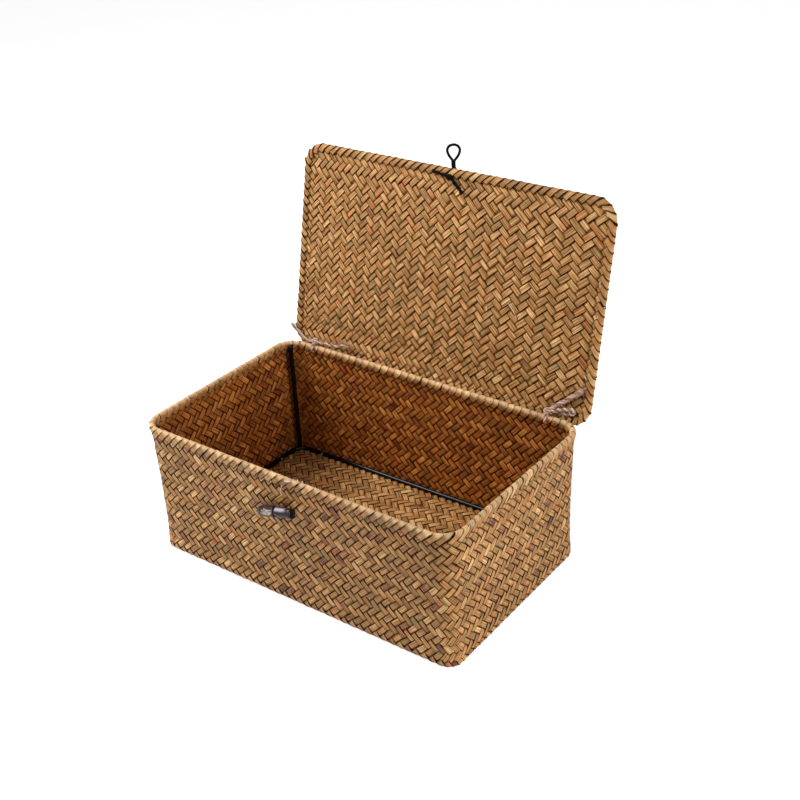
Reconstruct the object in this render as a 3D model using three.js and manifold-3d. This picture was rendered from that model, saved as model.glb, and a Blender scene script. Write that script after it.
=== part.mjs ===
// Woven lidded box: a seagrass basket on a bent wire frame, with a woven lid that is tied on with
// twine, an elastic loop on the lid and a toggle on the front wall.
//
// Millimetres. +X runs along the front from left to right, +Y from front to back, +Z up.
// The origin is the centre of the base's underside. The lid stands open, as it does in use.

import * as THREE from "three";
import { mergeVertices } from "three/addons/utils/BufferGeometryUtils.js";
import Module from "manifold-3d";

const wasm = await Module();
wasm.setup();

// Basket, measured on the centre line of the round border along its rim
const rimLength = 300;
const rimDepth = 181.5;
const rimHeight = 118.2;
const rimCornerRadius = 18;
const rimBorderRadius = 2.4;

// Woven walls and base
const wallThickness = 2.6;
const wallWaist = 2.5;
const footCornerRadius = 13;
const footRound = 5;

// Gap kept between pieces that rest on each other
const seatGap = 0.3;

// How the wall draws in between its foot and its top
const wallShapeShares = [
  { height: 0, drawIn: 0.78, rounding: 0 },
  { height: 0.1, drawIn: 0.94, rounding: 0.1 },
  { height: 0.28, drawIn: 1, rounding: 0.2 },
  { height: 0.5, drawIn: 0.85, rounding: 0.35 },
  { height: 0.75, drawIn: 0.4, rounding: 0.65 },
  { height: 0.93, drawIn: 0, rounding: 1 },
  { height: 1, drawIn: 0, rounding: 1 },
];

// Folded strips round the wires in the two borders, closed by a narrow seam
const borderSkin = 0.9;
const seamWidth = 0.8;

// Wire frame inside the basket
const frameWireRadius = 2;
const footRingHeight = 11;
const footRingCornerRadius = 12;

// Nylon stitches that hold the lower ring to the walls
const stitchThreadRadius = 0.4;
const stitchSetback = 17;

// Lid, measured on the centre line of its own border, and smaller than the basket's rim
const lidLengthClearance = 4.7;
const lidDepthClearance = 4.5;
const lidShift = 4.2;
const lidCornerRadius = 17;
const lidBorderRadius = 2.3;
const lidOpenAngle = 102;

// Twine ties that hinge the lid, each set in from its end of the lid
const tieLeftInset = 22.95;
const tieRightInset = 32.85;
const twineRadius = 1.1;
const knotRadius = 2.6;
const knotWidthRadius = 3.3;
const knotTurn = 177;
const slotSideClearance = 0.5;

// Elastic loop on the front edge of the lid
const elasticX = 6.6;
const elasticNeckX = 5.4;
const elasticRadius = 0.75;
const elasticReach = 8.8;
const elasticKnotRadius = 2;
const strandSpacing = 1.7;
const elasticLoopLength = 13.4;
const elasticLoopWidth = 12.2;
const elasticLoopTurn = 37.7;
const elasticLoopLean = 6.5;
const borderWrapStart = 45;
const borderWrapEnd = 160;

// Toggle on the front wall, a drop below the rim
const toggleX = -5.8;
const toggleDrop = 28.55;
const toggleLength = 36.8;
const toggleRadius = 4.2;
const toggleGrooveRadius = 2.9;
const toggleGrooveWidth = 2.4;
const toggleGrooveOffset = 1.5;
const toggleStandOff = 1.1;
const toggleTilt = 13.4;
const toggleCordRadius = 0.7;
const toggleKnotRadius = 1.8;
const toggleShapeShares = [
  { along: -1, radius: 0.55 },
  { along: -0.9, radius: 0.78 },
  { along: -0.72, radius: 0.95 },
  { along: -0.4, radius: 1 },
];
const toggleCutEndShares = [
  { along: 0.9, radius: 0.97 },
  { along: 1, radius: 0.9 },
];

// Free ends of the twine and the elastic. Each route is given as the lid lies closed, from the
// centre line of the basket's back border: x along the box, y to the back, z up.
const leftTailUpRoute = [
  [-124.1, -5.4, 0.3],
  [-129.5, -5.9, -0.1],
  [-136, -9, -0.7],
  [-141.5, -12.8, -1.4],
  [-146, -16.2, -1.9],
];
const leftTailSideRoute = [
  [-116.9, -5.5, 0.3],
  [-107.6, -6.1, 0.6],
  [-99.2, -6.1, 0.8],
  [-91.3, -8.4, 0.6],
  [-84.1, -11.1, 0.2],
];
const rightTailUpRoute = [
  [121.1, -7.9, 0.8],
  [125.7, -12.3, 1.7],
  [130.7, -16.2, 2.1],
  [136.6, -21.6, 2.1],
  [141.6, -26.2, 2.1],
  [145.9, -29.8, 2.1],
];
const rightTailFoldRoute = [
  [122.6, -5.9, 0.1],
  [128.8, -7.9, 0.1],
  [135.2, -9.2, -0.2],
  [140.3, -10.4, -0.4],
];
const elasticTailSideRoute = [
  [4.2, -172.8, 1.7],
  [0.5, -173.5, 2],
  [-5.3, -174.3, 2.1],
  [-11.7, -175.1, 1.9],
];
const elasticTailDownRoute = [
  [8.4, -170.8, 1.6],
  [11.5, -167.9, 2],
  [15.2, -164.2, 2.3],
  [17.9, -161.5, 2.3],
];
const twineTailRadius = 1;
const thickTailRadius = 1.2;
const foldTailRadius = 1.4;
const tailStepsPerPoint = 3;

// Facets
const cornerSteps = 6;
const borderOuterSteps = 13;
const borderInnerSteps = 8;
const borderWrapSteps = 4;
const wireSides = 10;
const rodSides = 16;
const cordSides = 8;
const stitchSides = 6;
const footRoundSteps = 3;
const knotSides = 14;
const loopSteps = 26;
const anchorSteps = 16;

// Derived sizes
const wallTop = rimHeight - rimBorderRadius - seatGap;
const rimWireRadius = rimBorderRadius - borderSkin - seatGap;
const lidWireRadius = lidBorderRadius - borderSkin - seatGap;
const hingeOrbit = rimBorderRadius + lidBorderRadius + seatGap;
const lidUnderside = hingeOrbit - wallThickness / 2;
const lidLength = rimLength - lidLengthClearance;
const lidDepth = rimDepth - lidDepthClearance;
const tieLeftX = lidShift - lidLength / 2 + tieLeftInset;
const tieRightX = lidShift + lidLength / 2 - tieRightInset;
const toggleHeight = rimHeight - toggleDrop;
const tieLoopRadius = rimBorderRadius + seatGap + twineRadius;
const roundEndTolerance = 1e-6;
const cutOverrun = 1;
const weldTolerance = 1e-4;

const radians = (degrees) => THREE.MathUtils.degToRad(degrees);
const vector = ([x, y, z]) => new THREE.Vector3(x, y, z);

// One loop of a rounded rectangle at a height, anticlockwise seen from above
function roundedLoop(halfLength, halfDepth, radius, height) {
  const points = [];
  const endsAreRound = halfDepth - radius < roundEndTolerance;
  for (let corner = 0; corner < 4; corner += 1) {
    const centreX = (corner === 0 || corner === 3 ? 1 : -1) * (halfLength - radius);
    const centreY = (corner < 2 ? 1 : -1) * (halfDepth - radius);
    const steps = endsAreRound && corner % 2 === 1 ? cornerSteps - 1 : cornerSteps;
    for (let step = 0; step <= steps; step += 1) {
      const turn = (corner + step / cornerSteps) * Math.PI / 2;
      const x = centreX + radius * Math.cos(turn);
      const y = centreY + radius * Math.sin(turn);
      points.push(new THREE.Vector3(x, y, height));
    }
  }
  return points;
}

function circleLoop(radius, height, sides) {
  return Array.from({ length: sides }, (_, side) => {
    const turn = side / sides * Math.PI * 2;
    return new THREE.Vector3(radius * Math.cos(turn), radius * Math.sin(turn), height);
  });
}

function arcPoints(radius, from, to, steps) {
  return Array.from({ length: steps + 1 }, (_, step) => {
    const turn = from + (to - from) * step / steps;
    return [radius * Math.cos(turn), radius * Math.sin(turn)];
  });
}

function circleProfile(radius, sides) {
  return arcPoints(radius, 0, Math.PI * 2 * (sides - 1) / sides, sides - 1);
}

// Round skin of a border with its seam facing the given way
function borderProfile(outerRadius, facing) {
  const innerRadius = outerRadius - borderSkin;
  const outerLip = Math.asin(seamWidth / 2 / outerRadius);
  const innerLip = Math.asin(seamWidth / 2 / innerRadius);
  const turn = Math.PI * 2;
  return [
    ...arcPoints(outerRadius, facing + outerLip, facing + turn - outerLip, borderOuterSteps),
    ...arcPoints(innerRadius, facing + turn - innerLip, facing + innerLip, borderInnerSteps),
  ];
}

function addStrip(positions, lower, upper) {
  lower.forEach((point, index) => {
    const next = (index + 1) % lower.length;
    const corners = [point, lower[next], upper[next], point, upper[next], upper[index]];
    corners.forEach((corner) => positions.push(corner.x, corner.y, corner.z));
  });
}

function addFan(positions, loop, facesUp) {
  const centre = loop.reduce((sum, point) => sum.add(point), new THREE.Vector3());
  centre.divideScalar(loop.length);
  loop.forEach((point, index) => {
    const next = loop[(index + 1) % loop.length];
    const corners = facesUp ? [centre, point, next] : [centre, next, point];
    corners.forEach((corner) => positions.push(corner.x, corner.y, corner.z));
  });
}

function geometryFrom(positions) {
  const geometry = new THREE.BufferGeometry();
  geometry.setAttribute("position", new THREE.Float32BufferAttribute(positions, 3));
  return mergeVertices(geometry, weldTolerance);
}

// Closed ring: the loops follow the section anticlockwise, with the outside of the ring first
function ringSolid(loops) {
  const positions = [];
  loops.forEach((loop, index) => addStrip(positions, loop, loops[(index + 1) % loops.length]));
  return geometryFrom(positions);
}

// Closed stack of loops with a flat face at each end
function stackSolid(loops) {
  const positions = [];
  loops.slice(1).forEach((loop, index) => addStrip(positions, loops[index], loop));
  addFan(positions, loops[0], false);
  addFan(positions, loops[loops.length - 1], true);
  return geometryFrom(positions);
}

// A section carried round a rounded rectangle
function profileRing(length, depth, cornerRadius, height, profile) {
  const loops = profile.map(([out, up]) => (
    roundedLoop(length / 2 + out, depth / 2 + out, cornerRadius + out, height + up)
  ));
  return ringSolid(loops);
}

function toSolid(geometry) {
  const bare = geometry.clone();
  bare.deleteAttribute("normal");
  bare.deleteAttribute("uv");
  const merged = mergeVertices(bare, weldTolerance);
  return new wasm.Manifold(new wasm.Mesh({
    numProp: 3,
    vertProperties: Float32Array.from(merged.attributes.position.array),
    triVerts: Uint32Array.from(merged.index.array),
  }));
}

function toGeometry(solid) {
  const mesh = solid.getMesh();
  const geometry = new THREE.BufferGeometry();
  geometry.setAttribute("position", new THREE.Float32BufferAttribute(mesh.vertProperties, 3));
  geometry.setIndex(new THREE.Uint32BufferAttribute(mesh.triVerts, 1));
  return geometry;
}

function cut(geometry, cutters) {
  const whole = cutters.reduce((solid, cutter) => solid.subtract(toSolid(cutter)), toSolid(geometry));
  return toGeometry(whole);
}

function join(geometries) {
  const [first, ...others] = geometries;
  return toGeometry(others.reduce((solid, other) => solid.add(toSolid(other)), toSolid(first)));
}

// Straight round rod between two points
function rod(from, to, radius, sides) {
  const along = to.clone().sub(from);
  const geometry = new THREE.CylinderGeometry(radius, radius, along.length(), sides);
  const turn = new THREE.Quaternion().setFromUnitVectors(new THREE.Vector3(0, 1, 0), along.normalize());
  const middle = from.clone().add(to).multiplyScalar(1 / 2);
  return geometry.applyMatrix4(new THREE.Matrix4().compose(middle, turn, new THREE.Vector3(1, 1, 1)));
}

function block(low, high) {
  const size = high.clone().sub(low);
  const middle = low.clone().add(high).multiplyScalar(1 / 2);
  return new THREE.BoxGeometry(size.x, size.y, size.z).translate(middle.x, middle.y, middle.z);
}

function ball(centre, radii) {
  const geometry = new THREE.SphereGeometry(1, knotSides, knotSides / 2);
  return geometry.scale(radii.x, radii.y, radii.z).translate(centre.x, centre.y, centre.z);
}

// Round cord along a smooth curve through the points
function cordAlong(points, radius, steps) {
  const section = new THREE.Shape(
    circleProfile(radius, cordSides).map(([x, y]) => new THREE.Vector2(x, y)),
  );
  const path = new THREE.CatmullRomCurve3(points);
  return new THREE.ExtrudeGeometry(section, { steps, bevelEnabled: false, extrudePath: path });
}

function tail(route, radius) {
  return cordAlong(route.map(vector), radius, (route.length - 1) * tailStepsPerPoint);
}

// Outer face of the wall at a share of its height above the foot round
function wallFace(shape) {
  const out = wallThickness / 2 - wallWaist * shape.drawIn;
  const topRadius = rimCornerRadius + wallThickness / 2;
  return {
    halfLength: rimLength / 2 + out,
    halfDepth: rimDepth / 2 + out,
    radius: footCornerRadius + (topRadius - footCornerRadius) * shape.rounding,
    height: footRound + (wallTop - footRound) * shape.height,
  };
}

// Outer face of the wall at any height
function wallFaceAt(height) {
  const share = (height - footRound) / (wallTop - footRound);
  const last = wallShapeShares.findIndex((shape) => shape.height >= share);
  const upper = wallShapeShares[last];
  const lower = wallShapeShares[last - 1];
  const blend = (share - lower.height) / (upper.height - lower.height);
  return wallFace({
    height: share,
    drawIn: lower.drawIn + (upper.drawIn - lower.drawIn) * blend,
    rounding: lower.rounding + (upper.rounding - lower.rounding) * blend,
  });
}

function faceLoop(face, inset) {
  return roundedLoop(face.halfLength - inset, face.halfDepth - inset, face.radius - inset, face.height);
}

// Rounded edge between the wall and the base, at a distance in from its outer face
function footRoundLoops(depthIn) {
  const foot = wallFace(wallShapeShares[0]);
  const radius = footRound - depthIn;
  return arcPoints(radius, -Math.PI / 2, 0, footRoundSteps).slice(0, -1).map(([out, up]) => (
    faceLoop({ ...foot, height: footRound + up }, footRound - out)
  ));
}

// Lower ring of the frame, resting inside the wall
function footRingSize() {
  const face = wallFaceAt(footRingHeight);
  const inset = wallThickness + seatGap + frameWireRadius;
  return {
    halfLength: face.halfLength - inset,
    halfDepth: face.halfDepth - inset,
    radius: footRingCornerRadius,
  };
}

function footRing() {
  const size = footRingSize();
  const profile = circleProfile(frameWireRadius, wireSides);
  return profileRing(size.halfLength * 2, size.halfDepth * 2, size.radius, footRingHeight, profile);
}

function topRing() {
  const profile = circleProfile(rimWireRadius, wireSides);
  return profileRing(rimLength, rimDepth, rimCornerRadius, rimHeight, profile);
}

// Corner post: from the lower ring up to the underside of the rim border, seen in the corner
// whose x and y have the given signs
function postEnds(signX, signY) {
  const ring = footRingSize();
  const diagonal = Math.SQRT1_2;
  const inward = wallThickness / 2 + seatGap + frameWireRadius;
  const borderClearance = rimBorderRadius + seatGap;
  const nearSide = inward - frameWireRadius;
  const topDrop = Math.sqrt(borderClearance * borderClearance - nearSide * nearSide);
  const reach = rimCornerRadius - inward;
  const bottomShift = ring.radius * (1 - diagonal);
  const topShift = rimCornerRadius - reach * diagonal;
  return {
    bottom: new THREE.Vector3(
      signX * (ring.halfLength - bottomShift),
      signY * (ring.halfDepth - bottomShift),
      footRingHeight + frameWireRadius + seatGap,
    ),
    top: new THREE.Vector3(
      signX * (rimLength / 2 - topShift),
      signY * (rimDepth / 2 - topShift),
      rimHeight - topDrop,
    ),
  };
}

function post(signX, signY) {
  const { bottom, top } = postEnds(signX, signY);
  return rod(bottom, top, frameWireRadius, rodSides);
}

const cornerSigns = [
  { name: "front_left", x: -1, y: -1 },
  { name: "front_right", x: 1, y: -1 },
  { name: "back_right", x: 1, y: 1 },
  { name: "back_left", x: -1, y: 1 },
];

// Two stitches by each corner, one on each side of it
function stitchPlaces() {
  const ring = footRingSize();
  const run = ring.radius + stitchSetback;
  return cornerSigns.flatMap((corner) => {
    const alongLength = new THREE.Vector3(
      corner.x * (ring.halfLength - run), corner.y * ring.halfDepth, footRingHeight,
    );
    const alongDepth = new THREE.Vector3(
      corner.x * ring.halfLength, corner.y * (ring.halfDepth - run), footRingHeight,
    );
    const wall = corner.name.split("_");
    return [
      { name: `stitch_${wall[0]}_wall_${wall[1]}`, centre: alongLength, axis: new THREE.Vector3(1, 0, 0) },
      { name: `stitch_${wall[1]}_wall_${wall[0]}`, centre: alongDepth, axis: new THREE.Vector3(0, 1, 0) },
    ];
  });
}

const stitchRadius = frameWireRadius + seatGap + stitchThreadRadius;

function stitch(place) {
  const profile = circleProfile(stitchThreadRadius, stitchSides);
  const loops = profile.map(([out, up]) => circleLoop(stitchRadius + out, up, rodSides));
  const turn = new THREE.Quaternion().setFromUnitVectors(new THREE.Vector3(0, 0, 1), place.axis);
  return ringSolid(loops).applyQuaternion(turn)
    .translate(place.centre.x, place.centre.y, place.centre.z);
}

// Room in the wall for the thread of a stitch
function stitchRoom(place) {
  const half = stitchThreadRadius + seatGap;
  const from = place.centre.clone().addScaledVector(place.axis, -half);
  const to = place.centre.clone().addScaledVector(place.axis, half);
  return rod(from, to, stitchRadius + stitchThreadRadius + seatGap, rodSides);
}

// Slot under the back border for a twine tie
function wallTieSlot(tieX) {
  const half = twineRadius + slotSideClearance;
  const backFace = rimDepth / 2;
  const bottom = rimHeight - tieLoopRadius - half;
  return block(
    new THREE.Vector3(tieX - half, backFace - wallThickness - cutOverrun, bottom),
    new THREE.Vector3(tieX + half, backFace + wallThickness + cutOverrun, rimHeight),
  );
}

// Hole through the front wall for the toggle's cord
function toggleHole() {
  const face = wallFaceAt(toggleHeight);
  const from = new THREE.Vector3(toggleX, -face.halfDepth - cutOverrun, toggleHeight);
  const to = new THREE.Vector3(toggleX, -face.halfDepth + wallThickness + cutOverrun, toggleHeight);
  return rod(from, to, toggleCordRadius + seatGap, rodSides);
}

function wovenWall() {
  const faces = wallShapeShares.map(wallFace);
  const outer = faces.map((face) => faceLoop(face, 0));
  const inner = faces.map((face) => faceLoop(face, wallThickness)).reverse();
  const innerRound = footRoundLoops(wallThickness).reverse();
  const shell = ringSolid([...footRoundLoops(0), ...outer, ...inner, ...innerRound]);
  return cut(shell, [
    wallTieSlot(tieLeftX),
    wallTieSlot(tieRightX),
    toggleHole(),
    ...stitchPlaces().map(stitchRoom),
  ]);
}

function wovenBase() {
  const foot = wallFace(wallShapeShares[0]);
  const inset = footRound + seatGap;
  const underside = faceLoop({ ...foot, height: 0 }, inset);
  const topside = faceLoop({ ...foot, height: wallThickness }, inset);
  return stackSolid([underside, topside]);
}

function rimBorder() {
  const profile = borderProfile(rimBorderRadius, -Math.PI / 2);
  return profileRing(rimLength, rimDepth, rimCornerRadius, rimHeight, profile);
}

// The lid's pieces are made as it lies closed, from the centre line of the basket's back border
function lidBorder() {
  const profile = borderProfile(lidBorderRadius, Math.PI);
  return profileRing(lidLength, lidDepth, lidCornerRadius, hingeOrbit, profile)
    .translate(lidShift, -lidDepth / 2, 0);
}

function lidRing() {
  const profile = circleProfile(lidWireRadius, wireSides);
  return profileRing(lidLength, lidDepth, lidCornerRadius, hingeOrbit, profile)
    .translate(lidShift, -lidDepth / 2, 0);
}

// Notch in the back edge of the lid panel for a twine tie
function lidTieSlot(tieX) {
  const half = twineRadius + slotSideClearance;
  return block(
    new THREE.Vector3(tieX - half, -tieLoopRadius - half, hingeOrbit - wallThickness),
    new THREE.Vector3(tieX + half, 0, hingeOrbit + wallThickness),
  );
}

const elasticKnotY = -lidDepth + lidBorderRadius + seatGap + elasticKnotRadius;

// Notch in the front edge of the lid panel for the two strands of elastic
function elasticSlot() {
  const half = strandSpacing / 2 + elasticRadius + seatGap;
  return block(
    new THREE.Vector3(elasticX - half, -lidDepth, hingeOrbit - wallThickness),
    new THREE.Vector3(elasticX + half, elasticKnotY + elasticRadius + seatGap, hingeOrbit + wallThickness),
  );
}

function lidPanel() {
  const inset = lidBorderRadius + seatGap;
  const lengthHalf = lidLength / 2 - inset;
  const depthHalf = lidDepth / 2 - inset;
  const radius = lidCornerRadius - inset;
  const panel = stackSolid([
    roundedLoop(lengthHalf, depthHalf, radius, lidUnderside),
    roundedLoop(lengthHalf, depthHalf, radius, lidUnderside + wallThickness),
  ]).translate(lidShift, -lidDepth / 2, 0);
  return cut(panel, [lidTieSlot(tieLeftX), lidTieSlot(tieRightX), elasticSlot()]);
}

// Twine tie: one loop round both borders, closed by its knot
function hingeTie(tieX) {
  const profile = circleProfile(twineRadius, cordSides);
  const loop = profileRing(hingeOrbit + tieLoopRadius * 2, tieLoopRadius * 2, tieLoopRadius, 0, profile)
    .translate(hingeOrbit / 2, 0, 0)
    .rotateY(-Math.PI / 2)
    .translate(tieX, 0, 0);
  const distance = rimBorderRadius + seatGap + knotRadius;
  const turn = radians(knotTurn);
  const centre = new THREE.Vector3(tieX, distance * Math.cos(turn), distance * Math.sin(turn));
  const knot = ball(centre, new THREE.Vector3(knotWidthRadius, knotRadius, knotRadius));
  return join([loop, knot]);
}

// Elastic from its knot under the lid, past the panel's edge and over the border to the loop's neck
function elasticAnchor() {
  const overBorder = lidBorderRadius + seatGap + elasticRadius;
  const knotCentre = new THREE.Vector3(elasticX, elasticKnotY, lidUnderside - seatGap - elasticKnotRadius);
  const arc = arcPoints(overBorder, radians(borderWrapStart), radians(borderWrapEnd), borderWrapSteps);
  const strandEnd = -lidDepth - elasticReach + elasticRadius + seatGap;
  const strands = [-strandSpacing / 2, strandSpacing / 2].map((offset) => cordAlong([
    new THREE.Vector3(elasticX + offset, elasticKnotY, knotCentre.z),
    new THREE.Vector3(elasticX + offset, elasticKnotY, hingeOrbit),
    ...arc.map(([inward, up]) => (
      new THREE.Vector3(elasticX + offset, -lidDepth + inward, hingeOrbit + up)
    )),
    new THREE.Vector3(elasticNeckX + offset, strandEnd, hingeOrbit),
  ], elasticRadius, anchorSteps));
  const knotRadii = new THREE.Vector3(elasticKnotRadius, elasticKnotRadius, elasticKnotRadius);
  return join([...strands, ball(knotCentre, knotRadii)]);
}

// Teardrop loop beyond the neck. Its strands leave the neck side by side along X and turn
// about the stem on their way to the tip.
function elasticLoop() {
  const length = elasticLoopLength - elasticRadius;
  const teardropPeak = 4 / (3 * Math.sqrt(3));
  const widestCosine = 1 / Math.sqrt(3);
  const bulge = elasticLoopWidth / 2 - elasticRadius - strandSpacing / 2 * widestCosine;
  const points = Array.from({ length: loopSteps + 1 }, (_, step) => {
    const angle = step / loopSteps * Math.PI * 2;
    const along = length * (1 - Math.cos(angle)) / 2;
    const swell = bulge * Math.sin(angle) * Math.sin(angle / 2) / teardropPeak;
    const side = swell + strandSpacing / 2 * Math.cos(angle / 2);
    const turn = radians(elasticLoopTurn) * Math.sin(angle / 2);
    return new THREE.Vector3(side * Math.cos(turn), -along, side * Math.sin(turn));
  });
  const cord = cordAlong(points, elasticRadius, loopSteps);
  const neckHalf = (strandSpacing + elasticRadius) / 2;
  const neck = rod(
    new THREE.Vector3(-neckHalf, 0, 0), new THREE.Vector3(neckHalf, 0, 0), elasticRadius, rodSides,
  );
  return join([cord, neck])
    .rotateZ(-radians(elasticLoopLean))
    .translate(elasticNeckX, -lidDepth - elasticReach, hingeOrbit);
}

// Toggle: a short round stick with a tapered left end and a cut right end. The groove for its
// cord, at the stick's own origin, lies a little nearer to the cut end.
function toggle() {
  const half = toggleLength / 2;
  const grooveHalf = toggleGrooveWidth / 2;
  const fromShare = ({ along, radius }) => (
    circleLoop(toggleRadius * radius, half * along - toggleGrooveOffset, rodSides)
  );
  return stackSolid([
    ...toggleShapeShares.map(fromShare),
    circleLoop(toggleRadius, -grooveHalf, rodSides),
    circleLoop(toggleGrooveRadius, -grooveHalf, rodSides),
    circleLoop(toggleGrooveRadius, grooveHalf, rodSides),
    circleLoop(toggleRadius, grooveHalf, rodSides),
    ...toggleCutEndShares.map(fromShare),
  ]);
}

function toggleCord() {
  const face = wallFaceAt(toggleHeight);
  const loopRadius = toggleGrooveRadius + seatGap + toggleCordRadius;
  const standOff = toggleRadius + toggleStandOff;
  const profile = circleProfile(toggleCordRadius, cordSides);
  const loops = profile.map(([out, up]) => circleLoop(loopRadius + out, up, rodSides));
  const around = ringSolid(loops).rotateY(Math.PI / 2).rotateY(-radians(toggleTilt));
  const knotY = standOff + wallThickness + seatGap + toggleKnotRadius;
  const stem = rod(
    new THREE.Vector3(0, loopRadius, 0), new THREE.Vector3(0, knotY, 0), toggleCordRadius, rodSides,
  );
  const knotRadii = new THREE.Vector3(toggleKnotRadius, toggleKnotRadius, toggleKnotRadius);
  return join([around, stem, ball(new THREE.Vector3(0, knotY, 0), knotRadii)])
    .translate(toggleX, -face.halfDepth - standOff, toggleHeight);
}

// Materials
const finishes = {
  weave: { color: 0x9c7240, roughness: 0.75, metalness: 0 },
  border: { color: 0xbb9560, roughness: 0.7, metalness: 0 },
  wire: { color: 0x17171a, roughness: 0.35, metalness: 0.4 },
  nylon: { color: 0xe6e2d8, roughness: 0.4, metalness: 0 },
  twine: { color: 0xa88c78, roughness: 0.95, metalness: 0 },
  elastic: { color: 0x101012, roughness: 0.8, metalness: 0 },
  horn: { color: 0x33222a, roughness: 0.3, metalness: 0 },
};

function piece(name, geometry, finish) {
  geometry.computeVertexNormals();
  const mesh = new THREE.Mesh(geometry, new THREE.MeshStandardMaterial(finishes[finish]));
  mesh.name = name;
  return mesh;
}

function basket() {
  const group = new THREE.Group();
  group.add(
    piece("woven_base", wovenBase(), "weave"),
    piece("woven_wall", wovenWall(), "weave"),
    piece("rim_border", rimBorder(), "border"),
    piece("frame_top_ring", topRing(), "wire"),
    piece("frame_foot_ring", footRing(), "wire"),
    ...cornerSigns.map((corner) => piece(`frame_post_${corner.name}`, post(corner.x, corner.y), "wire")),
    ...stitchPlaces().map((place) => piece(place.name, stitch(place), "nylon")),
  );
  return group;
}

function lid() {
  const group = new THREE.Group();
  group.add(
    piece("lid_panel", lidPanel(), "weave"),
    piece("lid_border", lidBorder(), "border"),
    piece("lid_ring", lidRing(), "wire"),
    piece("hinge_tie_left", hingeTie(tieLeftX), "twine"),
    piece("hinge_tie_right", hingeTie(tieRightX), "twine"),
    piece("tie_left_tail_up", tail(leftTailUpRoute, twineTailRadius), "twine"),
    piece("tie_left_tail_side", tail(leftTailSideRoute, twineTailRadius), "twine"),
    piece("tie_right_tail_up", tail(rightTailUpRoute, thickTailRadius), "twine"),
    piece("tie_right_tail_fold", tail(rightTailFoldRoute, foldTailRadius), "twine"),
    piece("elastic_anchor", elasticAnchor(), "elastic"),
    piece("elastic_tail_side", tail(elasticTailSideRoute, elasticRadius), "elastic"),
    piece("elastic_tail_down", tail(elasticTailDownRoute, elasticRadius), "elastic"),
    piece("elastic_loop", elasticLoop(), "elastic"),
  );
  group.position.set(0, rimDepth / 2, rimHeight);
  group.rotation.x = -radians(lidOpenAngle);
  return group;
}

function toggleSet() {
  const face = wallFaceAt(toggleHeight);
  const stick = piece("toggle", toggle(), "horn");
  stick.position.set(toggleX, -face.halfDepth - toggleRadius - toggleStandOff, toggleHeight);
  stick.rotation.y = Math.PI / 2 - radians(toggleTilt);
  const group = new THREE.Group();
  group.add(stick, piece("toggle_cord", toggleCord(), "elastic"));
  return group;
}

const box = new THREE.Group();
box.add(basket(), lid(), toggleSet());

export default box;
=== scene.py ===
"""Woven lidded box: a seagrass basket on a bent wire frame, with its lid standing open.

Metres. +X runs along the front from left to right, +Y from front to back, +Z up, and the origin
is the centre of the base's underside. Lid pieces are worked out as the lid lies closed, from the
centre line of the basket's back border, and are then swung open.
"""

import math

import bpy
import numpy as np
from bpy.props import FloatProperty, FloatVectorProperty, IntProperty, PointerProperty
from mathutils import Matrix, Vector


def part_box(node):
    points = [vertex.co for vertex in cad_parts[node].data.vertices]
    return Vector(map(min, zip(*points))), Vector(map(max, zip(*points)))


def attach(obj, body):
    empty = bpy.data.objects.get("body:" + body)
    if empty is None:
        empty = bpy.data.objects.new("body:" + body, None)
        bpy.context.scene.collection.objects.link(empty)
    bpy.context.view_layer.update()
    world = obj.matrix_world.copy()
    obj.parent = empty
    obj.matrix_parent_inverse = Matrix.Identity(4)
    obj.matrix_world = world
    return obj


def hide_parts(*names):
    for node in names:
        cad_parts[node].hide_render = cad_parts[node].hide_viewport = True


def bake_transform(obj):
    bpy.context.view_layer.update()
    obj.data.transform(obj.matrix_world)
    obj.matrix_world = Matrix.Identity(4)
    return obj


bl_info = {
    "name": "Woven lidded box",
    "version": (1, 0, 0),
    "blender": (4, 5, 0),
    "location": "View3D > Sidebar > Woven box",
    "description": "Builds a woven box with a tied lid, an elastic loop and a toggle",
    "category": "Add Mesh",
}

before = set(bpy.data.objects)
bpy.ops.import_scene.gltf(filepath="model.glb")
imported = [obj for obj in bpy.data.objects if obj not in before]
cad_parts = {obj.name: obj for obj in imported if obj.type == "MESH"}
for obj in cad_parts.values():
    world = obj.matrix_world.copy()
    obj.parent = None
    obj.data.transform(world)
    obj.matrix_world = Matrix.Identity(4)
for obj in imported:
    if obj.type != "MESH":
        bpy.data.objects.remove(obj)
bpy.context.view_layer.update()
UP = np.array([0.0, 0.0, 1.0])
TURN = 2 * math.pi
# Directions that a tube's sides are turned from, none of them along its line
ACROSS = np.array([1.0, 0, 0])
BACKWARD = np.array([0, 1.0, 0])
TANGLE_UP = np.array([0.2, 0.5, 0.8])
HAIR_UP = np.array([0.31, 0.77, 0.56])

# Wall shape: share of the height above the foot round, of the draw-in, and of the corner's growth
WALL_SHAPE_SHARES = np.array([
    (0, 0.78, 0), (0.1, 0.94, 0.1), (0.28, 1, 0.2), (0.5, 0.85, 0.35),
    (0.75, 0.4, 0.65), (0.93, 0, 1), (1, 0, 1),
])
MIN_CORNER = 0.0005

# Section of a flattened reed: share of its half width and of its half thickness
REED_SECTION_SHARES = np.array([
    (1, 0), (0.93, 0.7), (0.62, 0.98), (-0.62, 0.98), (-0.93, 0.7),
    (-1, 0), (-0.93, -0.7), (-0.62, -0.98), (0.62, -0.98), (0.93, -0.7),
])
SLANTS = (("rising", 1), ("falling", -1))

# A reed's faults: spread and drift of its tone, tilt, and waves per crossing of edges and tone
TONE_SPREAD = 0.13
TONE_DRIFT = 0.09
TILT_SHARE = 0.08
EDGE_WAVES = (0.55, 1.3)
TONE_WAVES = (0.83, 1.9)
TILT_WAVE = 1.37
REED_START_RANGE = 5

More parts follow.
